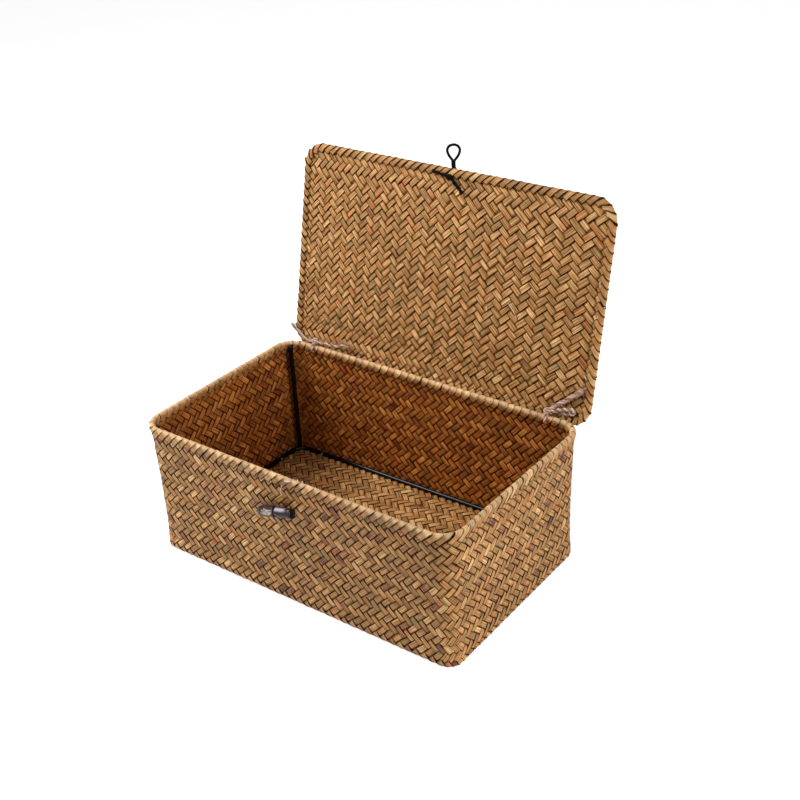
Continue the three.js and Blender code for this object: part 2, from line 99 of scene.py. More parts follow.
# Seeds of the random draws
WALL_SEEDS = {"rising": 41, "falling": 40}
BASE_SEEDS = {"rising": 60, "falling": 61}
LID_SEEDS = {"rising": 80, "falling": 81}
RIM_SEED, LID_EDGE_SEED = 5, 6
TWINE_SEED = 11
STITCH_SEED = 20

# Walls: where the twill stands, where the reeds start and stop, and how they lie flat in the rim
WALL_PHASE = 2
WALL_ROW_SHIFT = 0.4
WALL_START = -0.0032
WALL_STOP_DROP = 0.0012
TUCK_DROP = 0.004
TUCK_LENGTH = 0.003
TUCK_SHARE = 0.6

# Flat panels: spare reeds that are worked out and cut off, overlap under the edge, and on the
# lid the share of a lane that a reed fills, its lean, and the turned rows at front and back
SPARE_SHARE = 1.3
SPARE_REEDS = 4
BASE_SAMPLES = 3
BASE_OVERLAP = 0.0008
BASE_CLEARANCE = 0.0002
LID_INSET = 0.0008
LID_FILL_SHARE = 1.05
LID_LEAN = 0.08
LID_VARIETY_SHARE = 0.6
LID_ROWS_DEPTH = 0.0245
LID_ROWS_BLEND = 0.0006

# Borders: route of one folded reed as out, up, along the border, and overlap
RIM_PROFILE = [
    (0.00145, -0.0060, -0.0046, 1), (0.0018, -0.0040, -0.0028, 1), (0.0021, -0.0022, -0.0012, 1),
    (0.0022, -0.0004, 0.0006, 1.03), (0.0018, 0.0011, 0.0019, 1.07),
    (0.0008, 0.0019, 0.0028, 1.15), (-0.0006, 0.0020, 0.0034, 1.3),
    (-0.0017, 0.0012, 0.0037, 1.3), (-0.0022, -0.0004, 0.0042, 1.2),
    (-0.0020, -0.0022, 0.0052, 1.05), (-0.0014, -0.0048, 0.0074, 1),
]
LID_PROFILE = [
    (-0.0042, -0.0015, -0.0048, 1), (-0.0028, -0.0019, -0.0034, 1),
    (-0.0012, -0.00215, -0.0018, 1), (0.0004, -0.0021, -0.0002, 1.04),
    (0.0016, -0.0013, 0.0010, 1.2), (0.0021, 0, 0.0018, 1.36), (0.0016, 0.0013, 0.0024, 1.36),
    (0.0002, 0.0021, 0.0032, 1.2), (-0.0014, 0.0019, 0.0038, 1), (-0.0032, 0.0014, 0.0056, 1),
]
WRAP_THICKNESS = 0.00066
WRAP_RINGS = 20
WRAP_JITTER_SHARE = 0.06
WRAP_WIDTH_SPREAD = 0.09
WRAP_TONE, WRAP_TONE_SPREAD = 0.54, 0.15
# Painted highlight on the rim's crests: how strongly they are paled and brightened
RIM_CREST_HIGHLIGHT_SHARE = 0.75
# Where the crests' painted highlight starts below the top, how high it grows, and how much it
# fades the painted edge shade
CREST_DROP = 0.0006
CREST_HEIGHT = 0.0018
CREST_EDGE_SHARE = 0.2
# Rings at each end of a folded reed that fade into painted shade
DARK_END_RINGS = 2

# Loose ends of reed: radius, then points; on the basket, and on the lid as it lies closed
RIM_STRAWS = [
    (0.00035, (-0.0002, -0.0924, 0.1143), (-0.0018, -0.0934, 0.1089), (-0.0019, -0.0929, 0.1030)),
    (0.0005, (0.0119, -0.0886, 0.1200), (0.0130, -0.0896, 0.1209), (0.0142, -0.0905, 0.1206)),
    (0.0004, (0.0158, -0.0880, 0.1200), (0.0176, -0.0895, 0.1208), (0.0186, -0.0905, 0.1200)),
    (0.0006, (0.0023, -0.0928, 0.1186), (0.0060, -0.0932, 0.1192), (0.0090, -0.0926, 0.1202)),
]
LID_STRAWS = [
    (0.0003, (0.0705, -0.0832, 0.0030), (0.0765, -0.0779, 0.0022), (0.0804, -0.0713, 0.0031)),
    (0.0005, (0.0507, -0.0755, 0.0030), (0.0520, -0.0722, 0.0028)),
    (0.0004, (0.1494, -0.0906, 0.0029), (0.1504, -0.0886, 0.0028), (0.1510, -0.0868, 0.0029)),
    (0.0004, (0.1474, -0.1160, 0.0029), (0.1482, -0.1144, 0.0028), (0.1488, -0.1124, 0.0029)),
    (0.00045, (0.1447, -0.0412, 0.0029), (0.1466, -0.0400, 0.0027), (0.1478, -0.0386, 0.0030)),
    (0.00014, (0.1528, -0.0580, 0.0040), (0.1578, -0.0572, 0.0030), (0.1618, -0.0548, 0.0030)),
    (0.00014, (0.1520, -0.0524, 0.0040), (0.1552, -0.0529, 0.0030), (0.1580, -0.0526, 0.0030)),
]
STRAW_SPACING = 0.0005
STRAW_UP = np.array([0.3, 0.2, 0.9])
STRAW_TONE = 1.1

# Free ends of the twine and the elastic: x along the box, y to the back, z up, lid closed
LEFT_TAIL_UP = [
    (-0.1241, -0.0054, 0.0003), (-0.1295, -0.0059, -0.0001), (-0.136, -0.009, -0.0007),
    (-0.1415, -0.0128, -0.0014), (-0.146, -0.0162, -0.0019),
]
LEFT_TAIL_SIDE = [
    (-0.1169, -0.0055, 0.0003), (-0.1076, -0.0061, 0.0006), (-0.0992, -0.0061, 0.0008),
    (-0.0913, -0.0084, 0.0006), (-0.0841, -0.0111, 0.0002),
]
RIGHT_TAIL_UP = [
    (0.1211, -0.0079, 0.0008), (0.1257, -0.0123, 0.0017), (0.1307, -0.0162, 0.0021),
    (0.1366, -0.0216, 0.0021), (0.1416, -0.0262, 0.0021), (0.1459, -0.0298, 0.0021),
]
RIGHT_TAIL_FOLD = [
    (0.1226, -0.0065, 0.0001), (0.1288, -0.0094, 0.0001), (0.1350, -0.0112, 0.0000),
    (0.1395, -0.0122, 0.0002), (0.1417, -0.0112, 0.0008), (0.1412, -0.0092, 0.0014),
    (0.1385, -0.0081, 0.0018), (0.1340, -0.0074, 0.0020), (0.1292, -0.0064, 0.0020),
]
ELASTIC_TAIL_SIDE = [
    (0.0042, -0.1728, 0.0017), (0.0005, -0.1735, 0.002), (-0.0053, -0.1743, 0.0021),
    (-0.0117, -0.1751, 0.0019),
]
ELASTIC_TAIL_DOWN = [
    (0.0084, -0.1708, 0.0016), (0.0115, -0.1679, 0.002), (0.0152, -0.1642, 0.0023),
    (0.0179, -0.1615, 0.0023),
]

# Wires: spacing of the ring's points, bow of a post, and how far its head stops below its node
RING_SPACING = 0.0025
WIRE_SIDES = 16
POST_POINTS = 40
POST_BOW = 0.0006
POST_DROP = 0.0004
POST_DROPS = {"back_right": 0.009, "back_left": -0.0022}

# Stitches: turns of thread, share and spread of its radius, and the knot's bead and two ends,
# each as how far it lifts and sways
THREAD_TURNS = 2.9
THREAD_SHARE = 0.25
THREAD_SPREAD = 2.2
THREAD_END_SHARE = 0.7
BEAD_LENGTH = 0.0007
BEAD_RADIUS = 0.0006
THREAD_END_REACH = (0.0012, 0.0022)
THREAD_ENDS = ((0.0012, 0.0014), (0.0003, -0.0018))

# Twine: loop round both borders, knot as centre and half sizes, and each free end as route,
# radius, plies, length of one twist and number of fibres
LOOP_RADIUS = 0.0038
LOOP_WAVE = 0.0004
LOOP_TWISTS = 6
TWINE_SPACING = 0.0006
TIE_KNOT = (-0.0053, 0.0003)
TIE_KNOT_SIZE = (0.0033, 0.0027, 0.0027)
KNOT_STRAND_SHARE = 0.75
PLY_SHARES = {2: 0.56, 3: 0.5}
# PLY_CONTRAST: how far the plies' tones step apart, as painted shade between them
PLY_CONTRAST = 0.9
PLY_START = 0.013
TAILS = {
    "tie_left_tail_up": (LEFT_TAIL_UP, 0.0013, 2, 0.03, 110),
    "tie_left_tail_side": (LEFT_TAIL_SIDE, 0.0011, 2, 0.009, 150),
    "tie_right_tail_up": (RIGHT_TAIL_UP, 0.0017, 3, 0.010, 150),
    "tie_right_tail_fold": (RIGHT_TAIL_FOLD, 0.0016, 2, 0.006, 80),
}
# Loose fibres: how many on a knot and on a loop, how far each kind reaches, and their radii
KNOT_FIBRES, LOOP_FIBRES = 130, 80
KNOT_REACH, LOOP_REACH, END_REACH, TIP_REACH = 0.0035, 0.0022, 0.0032, 0.0055
FINE_FIBRE, END_FIBRE, TIP_FIBRE = 0.00005, 0.00013, 0.00014
TIP_RINGS, TIP_FORWARD = 6, 2.2
FIBRE_ROOT_SHARE = 0.7

# Elastic: knot under the lid, and the bend of its two strands over the lid's border
ELASTIC_SPACING = 0.0005
KNOT_LEVEL = 0.0014
KNOT_INSET = 0.0046
ELASTIC_KNOT_SIZE = (0.0026, 0.002, 0.002)
BEND_RADIUS = 0.00335
BEND_DEGREES = (45, 160)
STEM_GAP = 0.00105
TAIL_SHARE = 1.4
TAIL_TWISTS = 1.5

# Toggle: share of its half length from the left, and of its radius
TOGGLE_SHAPE_SHARES = np.array([
    (-1, 0.16), (-0.97, 0.42), (-0.9, 0.68), (-0.72, 0.93), (-0.4, 1),
    (0.3, 0.93), (0.9, 0.9), (0.985, 0.88), (1, 0.8),
])
TOGGLE_RINGS, TOGGLE_SIDES = 90, 28
GROOVE_WIDTH = 0.0011
GROOVE_SHARE = 0.3
SAG = 0.0013
SAG_RISE = 0.0004
# Dents: depth, turns round the stick, turns per metre along it, and phase
DENT_SHARE = 0.016
TOGGLE_DENTS = ((1, 5, 260, 0), (1, 3, -410, 1.7), (0.6, 7, 900, 0.6))
# Degrees round the toggle from its back, over the top, and how far each mark spreads
WORN_TURN, WORN_SPREAD = 166, 0.6
WORN_PLACE, WORN_REACH = -0.2, 0.38
# The toggle's painted highlight: its turn round the toggle, its spread and its strength
HIGHLIGHT_TURN, HIGHLIGHT_SPREAD = 121, 0.36
HIGHLIGHT_SHARE = 0.9
CUT_END_SHARE = 0.993
# The toggle's cord: its two turns in the groove, its stem through the wall, and its knot
CORD_TURN_RADIUS = 0.0034
CORD_TURN_WIDTH = 0.0005
CORD_RADII = (0.00055, 0.0007, 0.0006)
STEM_START, STEM_INSET = 0.003, 0.002
CORD_KNOT_SIZE = (0.002, 0.0018, 0.002)
CORD_KNOT_INSET = 0.0018

# Lamps: place, the point aimed at, and size; the stage's settings hold their powers
LAMPS = {
    "key": ((-0.75, -0.25, 1.05), (0, 0, 0.08), 0.7),
    "fill": ((1.1, 0.0, 0.34), (0, 0, 0.1), 0.5),
    "glint": ((-0.24, -0.38, 1.02), (0, -0.1, 0.09), 0.3),
    "near": ((-0.65, -0.6, 0.55), (0, 0, 0.08), 0.4),
}
SENSOR_WIDTH = 36
FLOOR_GLOW = 0.85


def paint(red, green, blue):
    """A colour as it is seen on a screen, 0 to 255, as the linear colour that shaders take."""
    seen = np.array([red, green, blue]) / 255
    linear = np.where(seen <= 0.04045, seen / 12.92, ((seen + 0.055) / 1.055) ** 2.4)
    return tuple(float(part) for part in linear)


def length(name, description, default):
    """A length, in metres."""
    return FloatProperty(name=name, description=description, default=default, unit="LENGTH",
                         precision=4)


def angle(name, description, degrees):
    """An angle, given in degrees."""
    return FloatProperty(name=name, description=description, default=math.radians(degrees),
                         subtype="ANGLE")


def colour(name, description, seen):
    """A colour, given as it is seen."""
    return FloatVectorProperty(name=name, description=description, default=paint(*seen),
                               subtype="COLOR", size=3, min=0, max=1)


# ---------------------------------------------------------------- settings


class BasketSizes(bpy.types.PropertyGroup):
    rim_length: length("Rim length", "Length on the rim's centre line", 0.300)
    rim_depth: length("Rim depth", "Depth on the rim's centre line", 0.1815)
    rim_height: length("Rim height", "Height of the rim's centre line", 0.1182)
    rim_corner: length("Rim corner", "Corner radius on the rim's centre line", 0.018)
    foot_corner: length("Foot corner", "Corner radius of the wall at its foot", 0.0117)
    foot_round: length("Foot round", "Height at which the wall turns under", 0.005)
    wall_thickness: length("Wall thickness", "Thickness of the woven wall", 0.0026)
    base_kick: length("Base kick", "How far the base is pushed up inside its edge", 0.0074)
    base_slope: length("Base slope", "Width of the base's sloping edge", 0.002)
    right_lift: length("Right lift", "How much higher base and ring stand at the right", 0.003)
    wall_waist: length("Wall waist", "How far the wall draws in", 0.0025)


class WeaveSizes(bpy.types.PropertyGroup):
    reed_width: length("Reed width", "Width of a reed in the walls", 0.00542)
    reed_thickness: length("Reed thickness", "Thickness of a reed", 0.0007)
    reed_pitch: length("Reed pitch", "Distance between like reeds along the wall", 0.00728)
    row_rise: length("Row rise", "Rise from one crossing to the next", 0.00365)
    edge_wander: length("Edge wander", "How far a reed's edges stray", 0.0003)
    weave_depth: length("Weave depth", "How far a reed rides over and under", 0.00072)
    span_variety: FloatProperty(name="Span variety", description="How much the tone of one "
                                "reed differs from one visible span to the next", default=0.11)
    lid_pitch: length("Lid pitch", "Distance between like reeds at the lid's middle", 0.00742)
    lid_rise: length("Lid rise", "Step from one crossing to the next up the lid", 0.00362)
    lid_growth: FloatProperty(name="Lid growth", description="How much wider the lid's pitch is "
                              "at its right end, as a power of e", default=0.31)
    wrap_pitch: length("Wrap pitch", "Distance between the folded reeds of a border", 0.00706)
    samples: IntProperty(name="Samples", description="Rings from one crossing to the next",
                         default=4, min=2, max=8)


class LidSizes(bpy.types.PropertyGroup):
    lid_length: length("Lid length", "Length on the lid border's centre line", 0.2953)
    lid_depth: length("Lid depth", "Depth on the lid border's centre line", 0.177)
    lid_shift: length("Lid shift", "How far the lid sits to the right", 0.0042)
    lid_corner: length("Lid corner", "Corner radius of the lid's border", 0.017)
    hinge_orbit: length("Hinge orbit", "From the rim's centre line to the lid's", 0.005)
    open_angle: angle("Open angle", "How far the lid stands open", 102)


class FittingSizes(bpy.types.PropertyGroup):
    wire_radius: length("Wire radius", "Radius of the black wire", 0.002)
    ring_height: length("Ring height", "Height of the lower wire ring", 0.011)
    ring_length: length("Ring length", "Length of the lower ring's centre line", 0.28846)
    ring_depth: length("Ring depth", "Depth of the lower ring's centre line", 0.16996)
    ring_corner: length("Ring corner", "Corner radius of the lower ring", 0.012)
    thread_radius: length("Thread radius", "Radius of the nylon thread", 0.0004)
    tie_left: length("Left tie", "Place of the left tie along the box", -0.1205)
    tie_right: length("Right tie", "Place of the right tie along the box", 0.119)
    twine_radius: length("Twine radius", "Radius of the twine", 0.0011)
    elastic_radius: length("Elastic radius", "Radius of the round elastic", 0.00108)
    elastic_x: length("Elastic place", "Place of the elastic along the lid", 0.0054)
    neck_x: length("Neck place", "Place of the loop's neck along the lid", 0.0054)
    elastic_reach: length("Elastic reach", "From the border to the loop's neck", 0.0088)
    strand_spacing: length("Strand spacing", "Between the elastic's two strands", 0.0017)
    loop_length: length("Loop length", "Length of the loop beyond its neck", 0.0134)
    loop_width: length("Loop width", "Width of the loop", 0.0122)
    loop_turn: angle("Loop turn", "How far the loop twists about its stem", 37.7)
    loop_lean: angle("Loop lean", "How far the loop leans sideways", 6.5)
    toggle_x: length("Toggle place", "Place of the toggle along the front", -0.0058)
    toggle_y: length("Toggle depth", "Place of the toggle's axis before the wall", -0.096439)
    toggle_z: length("Toggle height", "Height of the toggle", 0.08965)
    toggle_length: length("Toggle length", "Length of the toggle", 0.0368)
    toggle_radius: length("Toggle radius", "Radius of the toggle", 0.0045)
    toggle_groove: length("Toggle groove", "From the toggle's middle to its groove", 0.0015)
    toggle_tilt: angle("Toggle tilt", "How far the toggle's right end hangs", 13.4)


class FinishColours(bpy.types.PropertyGroup):
    reed_dark: colour("Dark reed", "Darkest reeds, purple brown", (100, 60, 41))
    reed_brown: colour("Brown reed", "Red-brown reeds", (156, 96, 52))
    reed_olive: colour("Olive reed", "Olive reeds", (160, 124, 70))
    reed_tan: colour("Tan reed", "Most reeds", (186, 130, 72))
    reed_light: colour("Light reed", "Light tan reeds", (208, 156, 94))
    reed_orange: colour("Orange reed", "Orange reeds", (202, 110, 51))
    reed_pale: colour("Pale reed", "Palest reeds", (234, 188, 126))
    # Painted highlight: the pale colour that the borders' crests are brightened towards
    crest_highlight: colour("Crest", "Rubbed crests of the borders", (228, 202, 158))
    # Painted shade: the darker, redder colour that the basket's inside faces are multiplied by
    inside_shade: colour("Inside tint", "Tint of the basket's inside faces", (234, 196, 142))
    wire: colour("Wire", "Black lacquered wire", (12, 12, 13))
    nylon: colour("Nylon", "Clear white thread", (232, 230, 222))
    twine: colour("Twine", "Mauve-beige twine", (214, 168, 138))
    # The darkest twine: dark fibres, and the painted shade of the darkest ply
    twine_dark: colour("Dark twine", "Twine in its hollows", (98, 64, 50))
    elastic: colour("Elastic", "Black elastic", (5, 5, 5))
    toggle: colour("Toggle", "Dark purple-brown horn", (48, 30, 36))
    toggle_worn: colour("Worn toggle", "Pale worn horn", (190, 168, 156))
    # Painted highlight: the bright band on the toggle's right half
    toggle_highlight: colour("Polished toggle", "Band rubbed bright on its right half",
                          (204, 194, 214))
    floor: colour("Floor", "Pale floor", (236, 236, 236))


class StageSettings(bpy.types.PropertyGroup):
    azimuth: angle("Azimuth", "Camera's turn to the right of the front", 37.683)
    elevation: angle("Elevation", "Camera's height above the level", 28.932)
    roll: angle("Roll", "Camera's turn about its own axis", -2.904)
    distance: length("Distance", "From the camera to the point it looks at", 1.00053)
    target: FloatVectorProperty(name="Target", description="Point that the camera looks at",
                                default=(0.027026, 0.020794, 0.140612), subtype="XYZ",
                                unit="LENGTH")
    lens: FloatProperty(name="Lens", description="Focal length in millimetres", default=57.327)
    floor_size: length("Floor size", "Side of the floor", 12.0)
    key_power: FloatProperty(name="Key power", description="Power of the main lamp in watts",
                             default=13.1)
    fill_power: FloatProperty(name="Fill power", description="Power of the fill lamp in watts",
                              default=6.4)
    glint_power: FloatProperty(name="Glint power", description="Power of the high lamp in watts",
                               default=1.2)
    near_power: FloatProperty(name="Near power", description="Power of the low lamp in watts",
                              default=1.3)
    sky_strength: FloatProperty(name="Sky strength", description="Light from all round",
                                default=0.06)


class BoxSettings(bpy.types.PropertyGroup):
    basket: PointerProperty(type=BasketSizes, name="Basket", description="Basket sizes")
    weave: PointerProperty(type=WeaveSizes, name="Weave", description="Weave sizes")
    lid: PointerProperty(type=LidSizes, name="Lid", description="Lid sizes")
    fittings: PointerProperty(type=FittingSizes, name="Fittings", description="Fitting sizes")
    colours: PointerProperty(type=FinishColours, name="Colours", description="Finish colours")
    stage: PointerProperty(type=StageSettings, name="Stage", description="Camera and lamps")


# ---------------------------------------------------------------- shapes


def unit(vectors):
    """Vectors divided by their lengths."""
    return vectors / np.maximum(np.linalg.norm(vectors, axis=-1, keepdims=True), 1e-12)


def round_section(sides):
    """Corners of a circle of radius one."""
    turn = np.arange(sides) / sides * TURN
    return np.stack([np.cos(turn), np.sin(turn)], -1)


def smooth_path(points, spacing):
    """Points at even spacing on a smooth curve through the given points: each span is a cubic
    whose end slopes are half the chord between the neighbours on either side."""
    points = np.asarray(points, float)
    ends = np.vstack([2 * points[0] - points[1], points, 2 * points[-1] - points[-2]])
    share = np.linspace(0, 1, 24, endpoint=False)[None, :, None]
    before, start, end, after = (ends[k:len(ends) - 3 + k, None] for k in range(4))
    dense = (start + share * (end - before) / 2
             + share ** 2 * (before - 2.5 * start + 2 * end - after / 2)
             + share ** 3 * (1.5 * (start - end) + (after - before) / 2))
    dense = np.vstack([dense.reshape(-1, 3), points[-1:]])
    return even_path(dense, spacing)


def even_path(dense, spacing):
    """The same line with its points at even distances."""
    travel = np.concatenate([[0], np.cumsum(np.linalg.norm(np.diff(dense, axis=0), axis=1))])
    count = max(3, int(round(travel[-1] / spacing)) + 1)
    wanted = np.linspace(0, travel[-1], count)
    return np.stack([np.interp(wanted, travel, dense[:, axis]) for axis in range(3)], -1)


def sweep(run, centre, up, half, section, tone=0.5, lift=1.0, start=0.0, swell=1.0,
          closed=False):
    """A section carried along many paths at once, as closed tubes.

    Corner = path point + section x times half width along the side + section y times half
    thickness along up, where the side is up crossed with the path's direction. Rings with the
    same run number are joined. start is added to the length along each path in the UV map."""
    rings = len(centre)
    up = np.broadcast_to(up, centre.shape)
    half = np.broadcast_to(half, (rings, 2))
    if closed:
        tangent = np.roll(centre, -1, 0) - np.roll(centre, 1, 0)
        steps = np.linalg.norm(np.diff(centre, axis=0), axis=1)
        linked = np.arange(rings)
    else:
        same = run[1:] == run[:-1]
        step = np.where(same[:, None], np.diff(centre, axis=0), 0)
        tangent = np.vstack([step, np.zeros(3)]) + np.vstack([np.zeros(3), step])
        steps = np.linalg.norm(step, axis=1)
        linked = np.flatnonzero(same)
    tangent = unit(tangent)
    side = unit(np.cross(up, tangent))
    up = np.cross(tangent, side)
    swell = np.broadcast_to(swell, (rings, len(section)))[..., None]
    shape = section[None] * half[:, None] * swell
    points = centre[:, None] + shape[..., :1] * side[:, None] + shape[..., 1:] * up[:, None]
    corners = len(section)
    here = linked[:, None] * corners
    ahead = (linked[:, None] + 1) % rings * corners
    near = np.arange(corners)
    far = (near + 1) % corners
    quads = np.stack([here + near, here + far, ahead + far, ahead + near], -1).reshape(-1, 4)
    travel = np.concatenate([[0], np.cumsum(steps)])
    loops, counts = [quads.ravel()], [np.full(len(quads), 4)]
    if not closed:
        breaks = np.flatnonzero(~same)
        firsts = np.concatenate([[0], breaks + 1])
        lasts = np.concatenate([breaks, [rings - 1]])
        loops += [(firsts[:, None] * corners + near[::-1]).ravel(),
                  (lasts[:, None] * corners + near).ravel()]
        counts.append(np.full(len(firsts) * 2, corners))
        travel = travel - np.repeat(travel[firsts], lasts - firsts + 1)
    along = np.broadcast_to(travel + start, (rings,))
    uv = np.stack([np.repeat(along, corners), shape[..., 0].ravel()], -1)
    spread = lambda value: np.repeat(np.broadcast_to(value, (rings,)), corners)
    return {
        "points": points.reshape(-1, 3), "loops": np.concatenate(loops),
        "counts": np.concatenate(counts), "uv": uv, "tone": spread(tone), "lift": spread(lift),
        "face": np.tile(section[:, 1], rings), "side": np.tile(section[:, 0], rings),
    }


def tube(path, radius, sides=10, reference=UP, closed=False, **more):
    """A round tube along one path."""
    half = np.stack(np.broadcast_arrays(radius, radius), -1).astype(float)
    half = half if half.ndim == 2 else np.broadcast_to(half, (len(path), 2))
    return sweep(np.zeros(len(path), int), path, reference, half, round_section(sides),
                 closed=closed, **more)


def path_frame(path, reference, closed=False):
    """Direction, side and up at each point of a path."""
    if closed:
        tangent = unit(np.roll(path, -1, 0) - np.roll(path, 1, 0))
    else:
        tangent = unit(np.gradient(path, axis=0))
    side = unit(np.cross(reference, tangent))
    return tangent, side, np.cross(tangent, side)


def twisted(path, radius, turns, plies, reference, closed=False):
    """Plies wound round each other: each ply is a tube on a helix about the path, and its tone
    steps evenly from the darkest to the palest, as painted shade that sets the plies apart."""
    _, side, up = path_frame(path, reference, closed)
    share = np.linspace(0, 1, len(path), endpoint=not closed)
    ply_radius = radius * PLY_SHARES[plies]
    parts = []
    for ply in range(plies):
        turn = (share * turns * TURN + ply / plies * TURN)[:, None]
        helix = path + (radius - ply_radius) * (np.cos(turn) * side + np.sin(turn) * up)
        tone = 0.5 + PLY_CONTRAST * (ply / (plies - 1) - 0.5)
        parts.append(tube(helix, ply_radius, 8, reference, closed, tone=tone,
                          start=ply * PLY_START))
    return parts


def hairs(path, radius, count, reach, rng, reference, thickness=FINE_FIBRE, forward=1.0):
    """Loose fibres that leave a path's surface: each is a short bent tube that starts at a
    random turn about the path and curls away from it."""
    tangent, side, up = path_frame(path, reference)
    root = rng.integers(0, len(path), count)
    turn = rng.uniform(0, TURN, count)[:, None]
    away = np.cos(turn) * side[root] + np.sin(turn) * up[root]
    lead = forward * rng.uniform(-0.4, 1, (count, 1)) * tangent[root]
    heading = unit(away * rng.uniform(0.25, 1, (count, 1)) + lead)
    curl = rng.normal(0, 0.35, (count, 3))
    size = (reach * rng.uniform(0.35, 1, count))[:, None, None]
    share = np.linspace(0, 1, 4)[None, :, None]
    start = path[root] + away * radius * 0.8
    lines = start[:, None] + size * (share * heading[:, None] + share ** 2 * curl[:, None])
    run = np.repeat(np.arange(count), 4)
    width = np.tile(thickness * np.array([1, 0.85, 0.6, 0.25]), count)
    return sweep(run, lines.reshape(-1, 3), HAIR_UP,
                 np.stack([width, width], -1), round_section(3),
                 tone=np.repeat(rng.uniform(0, 1, count), 4))


def outline(along, half_length, half_depth, radius, driving):
    """Point and outward direction on a rounded rectangle, anticlockwise from the front's left.
    along is measured on the driving outline, whose four sides and four corners give the
    breaks: a side is crossed evenly, a corner is a quarter turn about its centre."""
    drive_length, drive_depth, drive_radius = driving
    sides = [2 * (drive_length - drive_radius), drive_radius * math.pi / 2,
             2 * (drive_depth - drive_radius), drive_radius * math.pi / 2] * 2
    breaks = np.concatenate([[0], np.cumsum(sides)])
    along = np.mod(along, breaks[-1])
    part = np.clip(np.searchsorted(breaks, along, side="right") - 1, 0, 7)
    share = (along - breaks[part]) / np.array(sides)[part]
    quarter = part // 2
    outward = np.array([(0, -1), (1, 0), (0, 1), (-1, 0)], float)[quarter]
    forward = np.array([(1, 0), (0, 1), (-1, 0), (0, -1)], float)[quarter]
    across = quarter % 2 == 0
    run = np.where(across, half_length, half_depth) - radius
    out = np.where(across, half_depth, half_length)
    corner = (part % 2 == 1)
    turn = np.where(corner, share * math.pi / 2, 0)[..., None]
    facing = outward * np.cos(turn) + forward * np.sin(turn)
    shift = np.where(corner, run, (2 * share - 1) * run)[..., None]
    base = forward * shift + outward * (out - radius)[..., None]
    return base + facing * np.broadcast_to(radius, out.shape)[..., None], facing


def perimeter(driving):
    """Length round a rounded rectangle: its straight sides and one full turn of its corner."""
    half_length, half_depth, radius = driving
    return 4 * (half_length + half_depth - 2 * radius) + TURN * radius


def rim_line(basket):
    """Half length, half depth and corner radius of the rim's centre line."""
    return basket.rim_length / 2, basket.rim_depth / 2, basket.rim_corner


def lid_line(lid):
    """The same three of the lid border's centre line."""
    return lid.lid_length / 2, lid.lid_depth / 2, lid.lid_corner


def wall_surface(sizes, along, height):
    """Middle of the woven wall and its outward direction. Above the foot round the outline is
    the rim's, drawn in by the wall shape. Below it, height goes on as length along a quarter
    circle that turns under, and then along the flat of the base."""
    top = sizes.rim_height - sizes.wall_thickness
    share = np.clip((height - sizes.foot_round) / (top - sizes.foot_round), 0, 1)
    draw = sizes.wall_waist * np.interp(share, WALL_SHAPE_SHARES[:, 0], WALL_SHAPE_SHARES[:, 1])
    growth = np.interp(share, WALL_SHAPE_SHARES[:, 0], WALL_SHAPE_SHARES[:, 2])
    bend = sizes.foot_round - sizes.wall_thickness / 2
    turn = np.clip((sizes.foot_round - height) / bend, 0, math.pi / 2)
    flat = np.maximum(0, sizes.foot_round - height - bend * math.pi / 2)
    inset = bend * (1 - np.cos(turn)) + flat
    radius = sizes.foot_corner + (sizes.rim_corner - sizes.foot_corner) * growth - inset
    place, facing = outline(
        along, sizes.rim_length / 2 - draw - inset, sizes.rim_depth / 2 - draw - inset,
        np.maximum(radius, MIN_CORNER), rim_line(sizes))
    level = np.where(height > sizes.foot_round, height, sizes.foot_round - bend * np.sin(turn))
    point = np.concatenate([place, level[..., None]], -1)
    outward = np.concatenate([facing * np.cos(turn)[..., None], -np.sin(turn)[..., None]], -1)
    return point, outward


def twill(step):
    """Height of a reed that runs over two and under two, from +1 to -1: a cosine of period
    four with its crests flattened."""
    wave = np.cos((step - 0.5) * math.pi / 2)
    return wave / np.sqrt(wave ** 2 + 0.045) * math.sqrt(1.045)


def inside_rounded(x, y, half_length, half_depth, radius):
    """True where a point lies inside a rounded rectangle about the origin."""
    beyond_x = np.maximum(np.abs(x) - (half_length - radius), 0)
    beyond_y = np.maximum(np.abs(y) - (half_depth - radius), 0)
    return np.hypot(beyond_x, beyond_y) < radius


def reed_looks(number, total, step, way, rng, spread):
    """Tone, both edges' sideways shift and tilt along each reed: random values for each reed
    plus slow waves. Neighbours share the edge between them, so that no gap opens; way is +1
    for rising and -1 for falling reeds, whose neighbours are one crossing behind or ahead."""
    phases = rng.uniform(0, TURN, (total, 6))
    here, before = phases[number], phases[number - 1]

    def edge(phase, place):
        slow, fast = (np.sin(place * wave + phase[:, k]) for k, wave in enumerate(EDGE_WAVES))
        return slow + 0.6 * fast

    waves = sum(np.sin(step * wave + here[:, 2 + k]) for k, wave in enumerate(TONE_WAVES))
    tone = rng.normal(0.5, spread, total)[number] + TONE_DRIFT * waves
    tilt = np.sin(step * TILT_WAVE + here[:, 4])
    return np.clip(tone, 0.02, 0.98), edge(before, step + way), edge(here, step), tilt


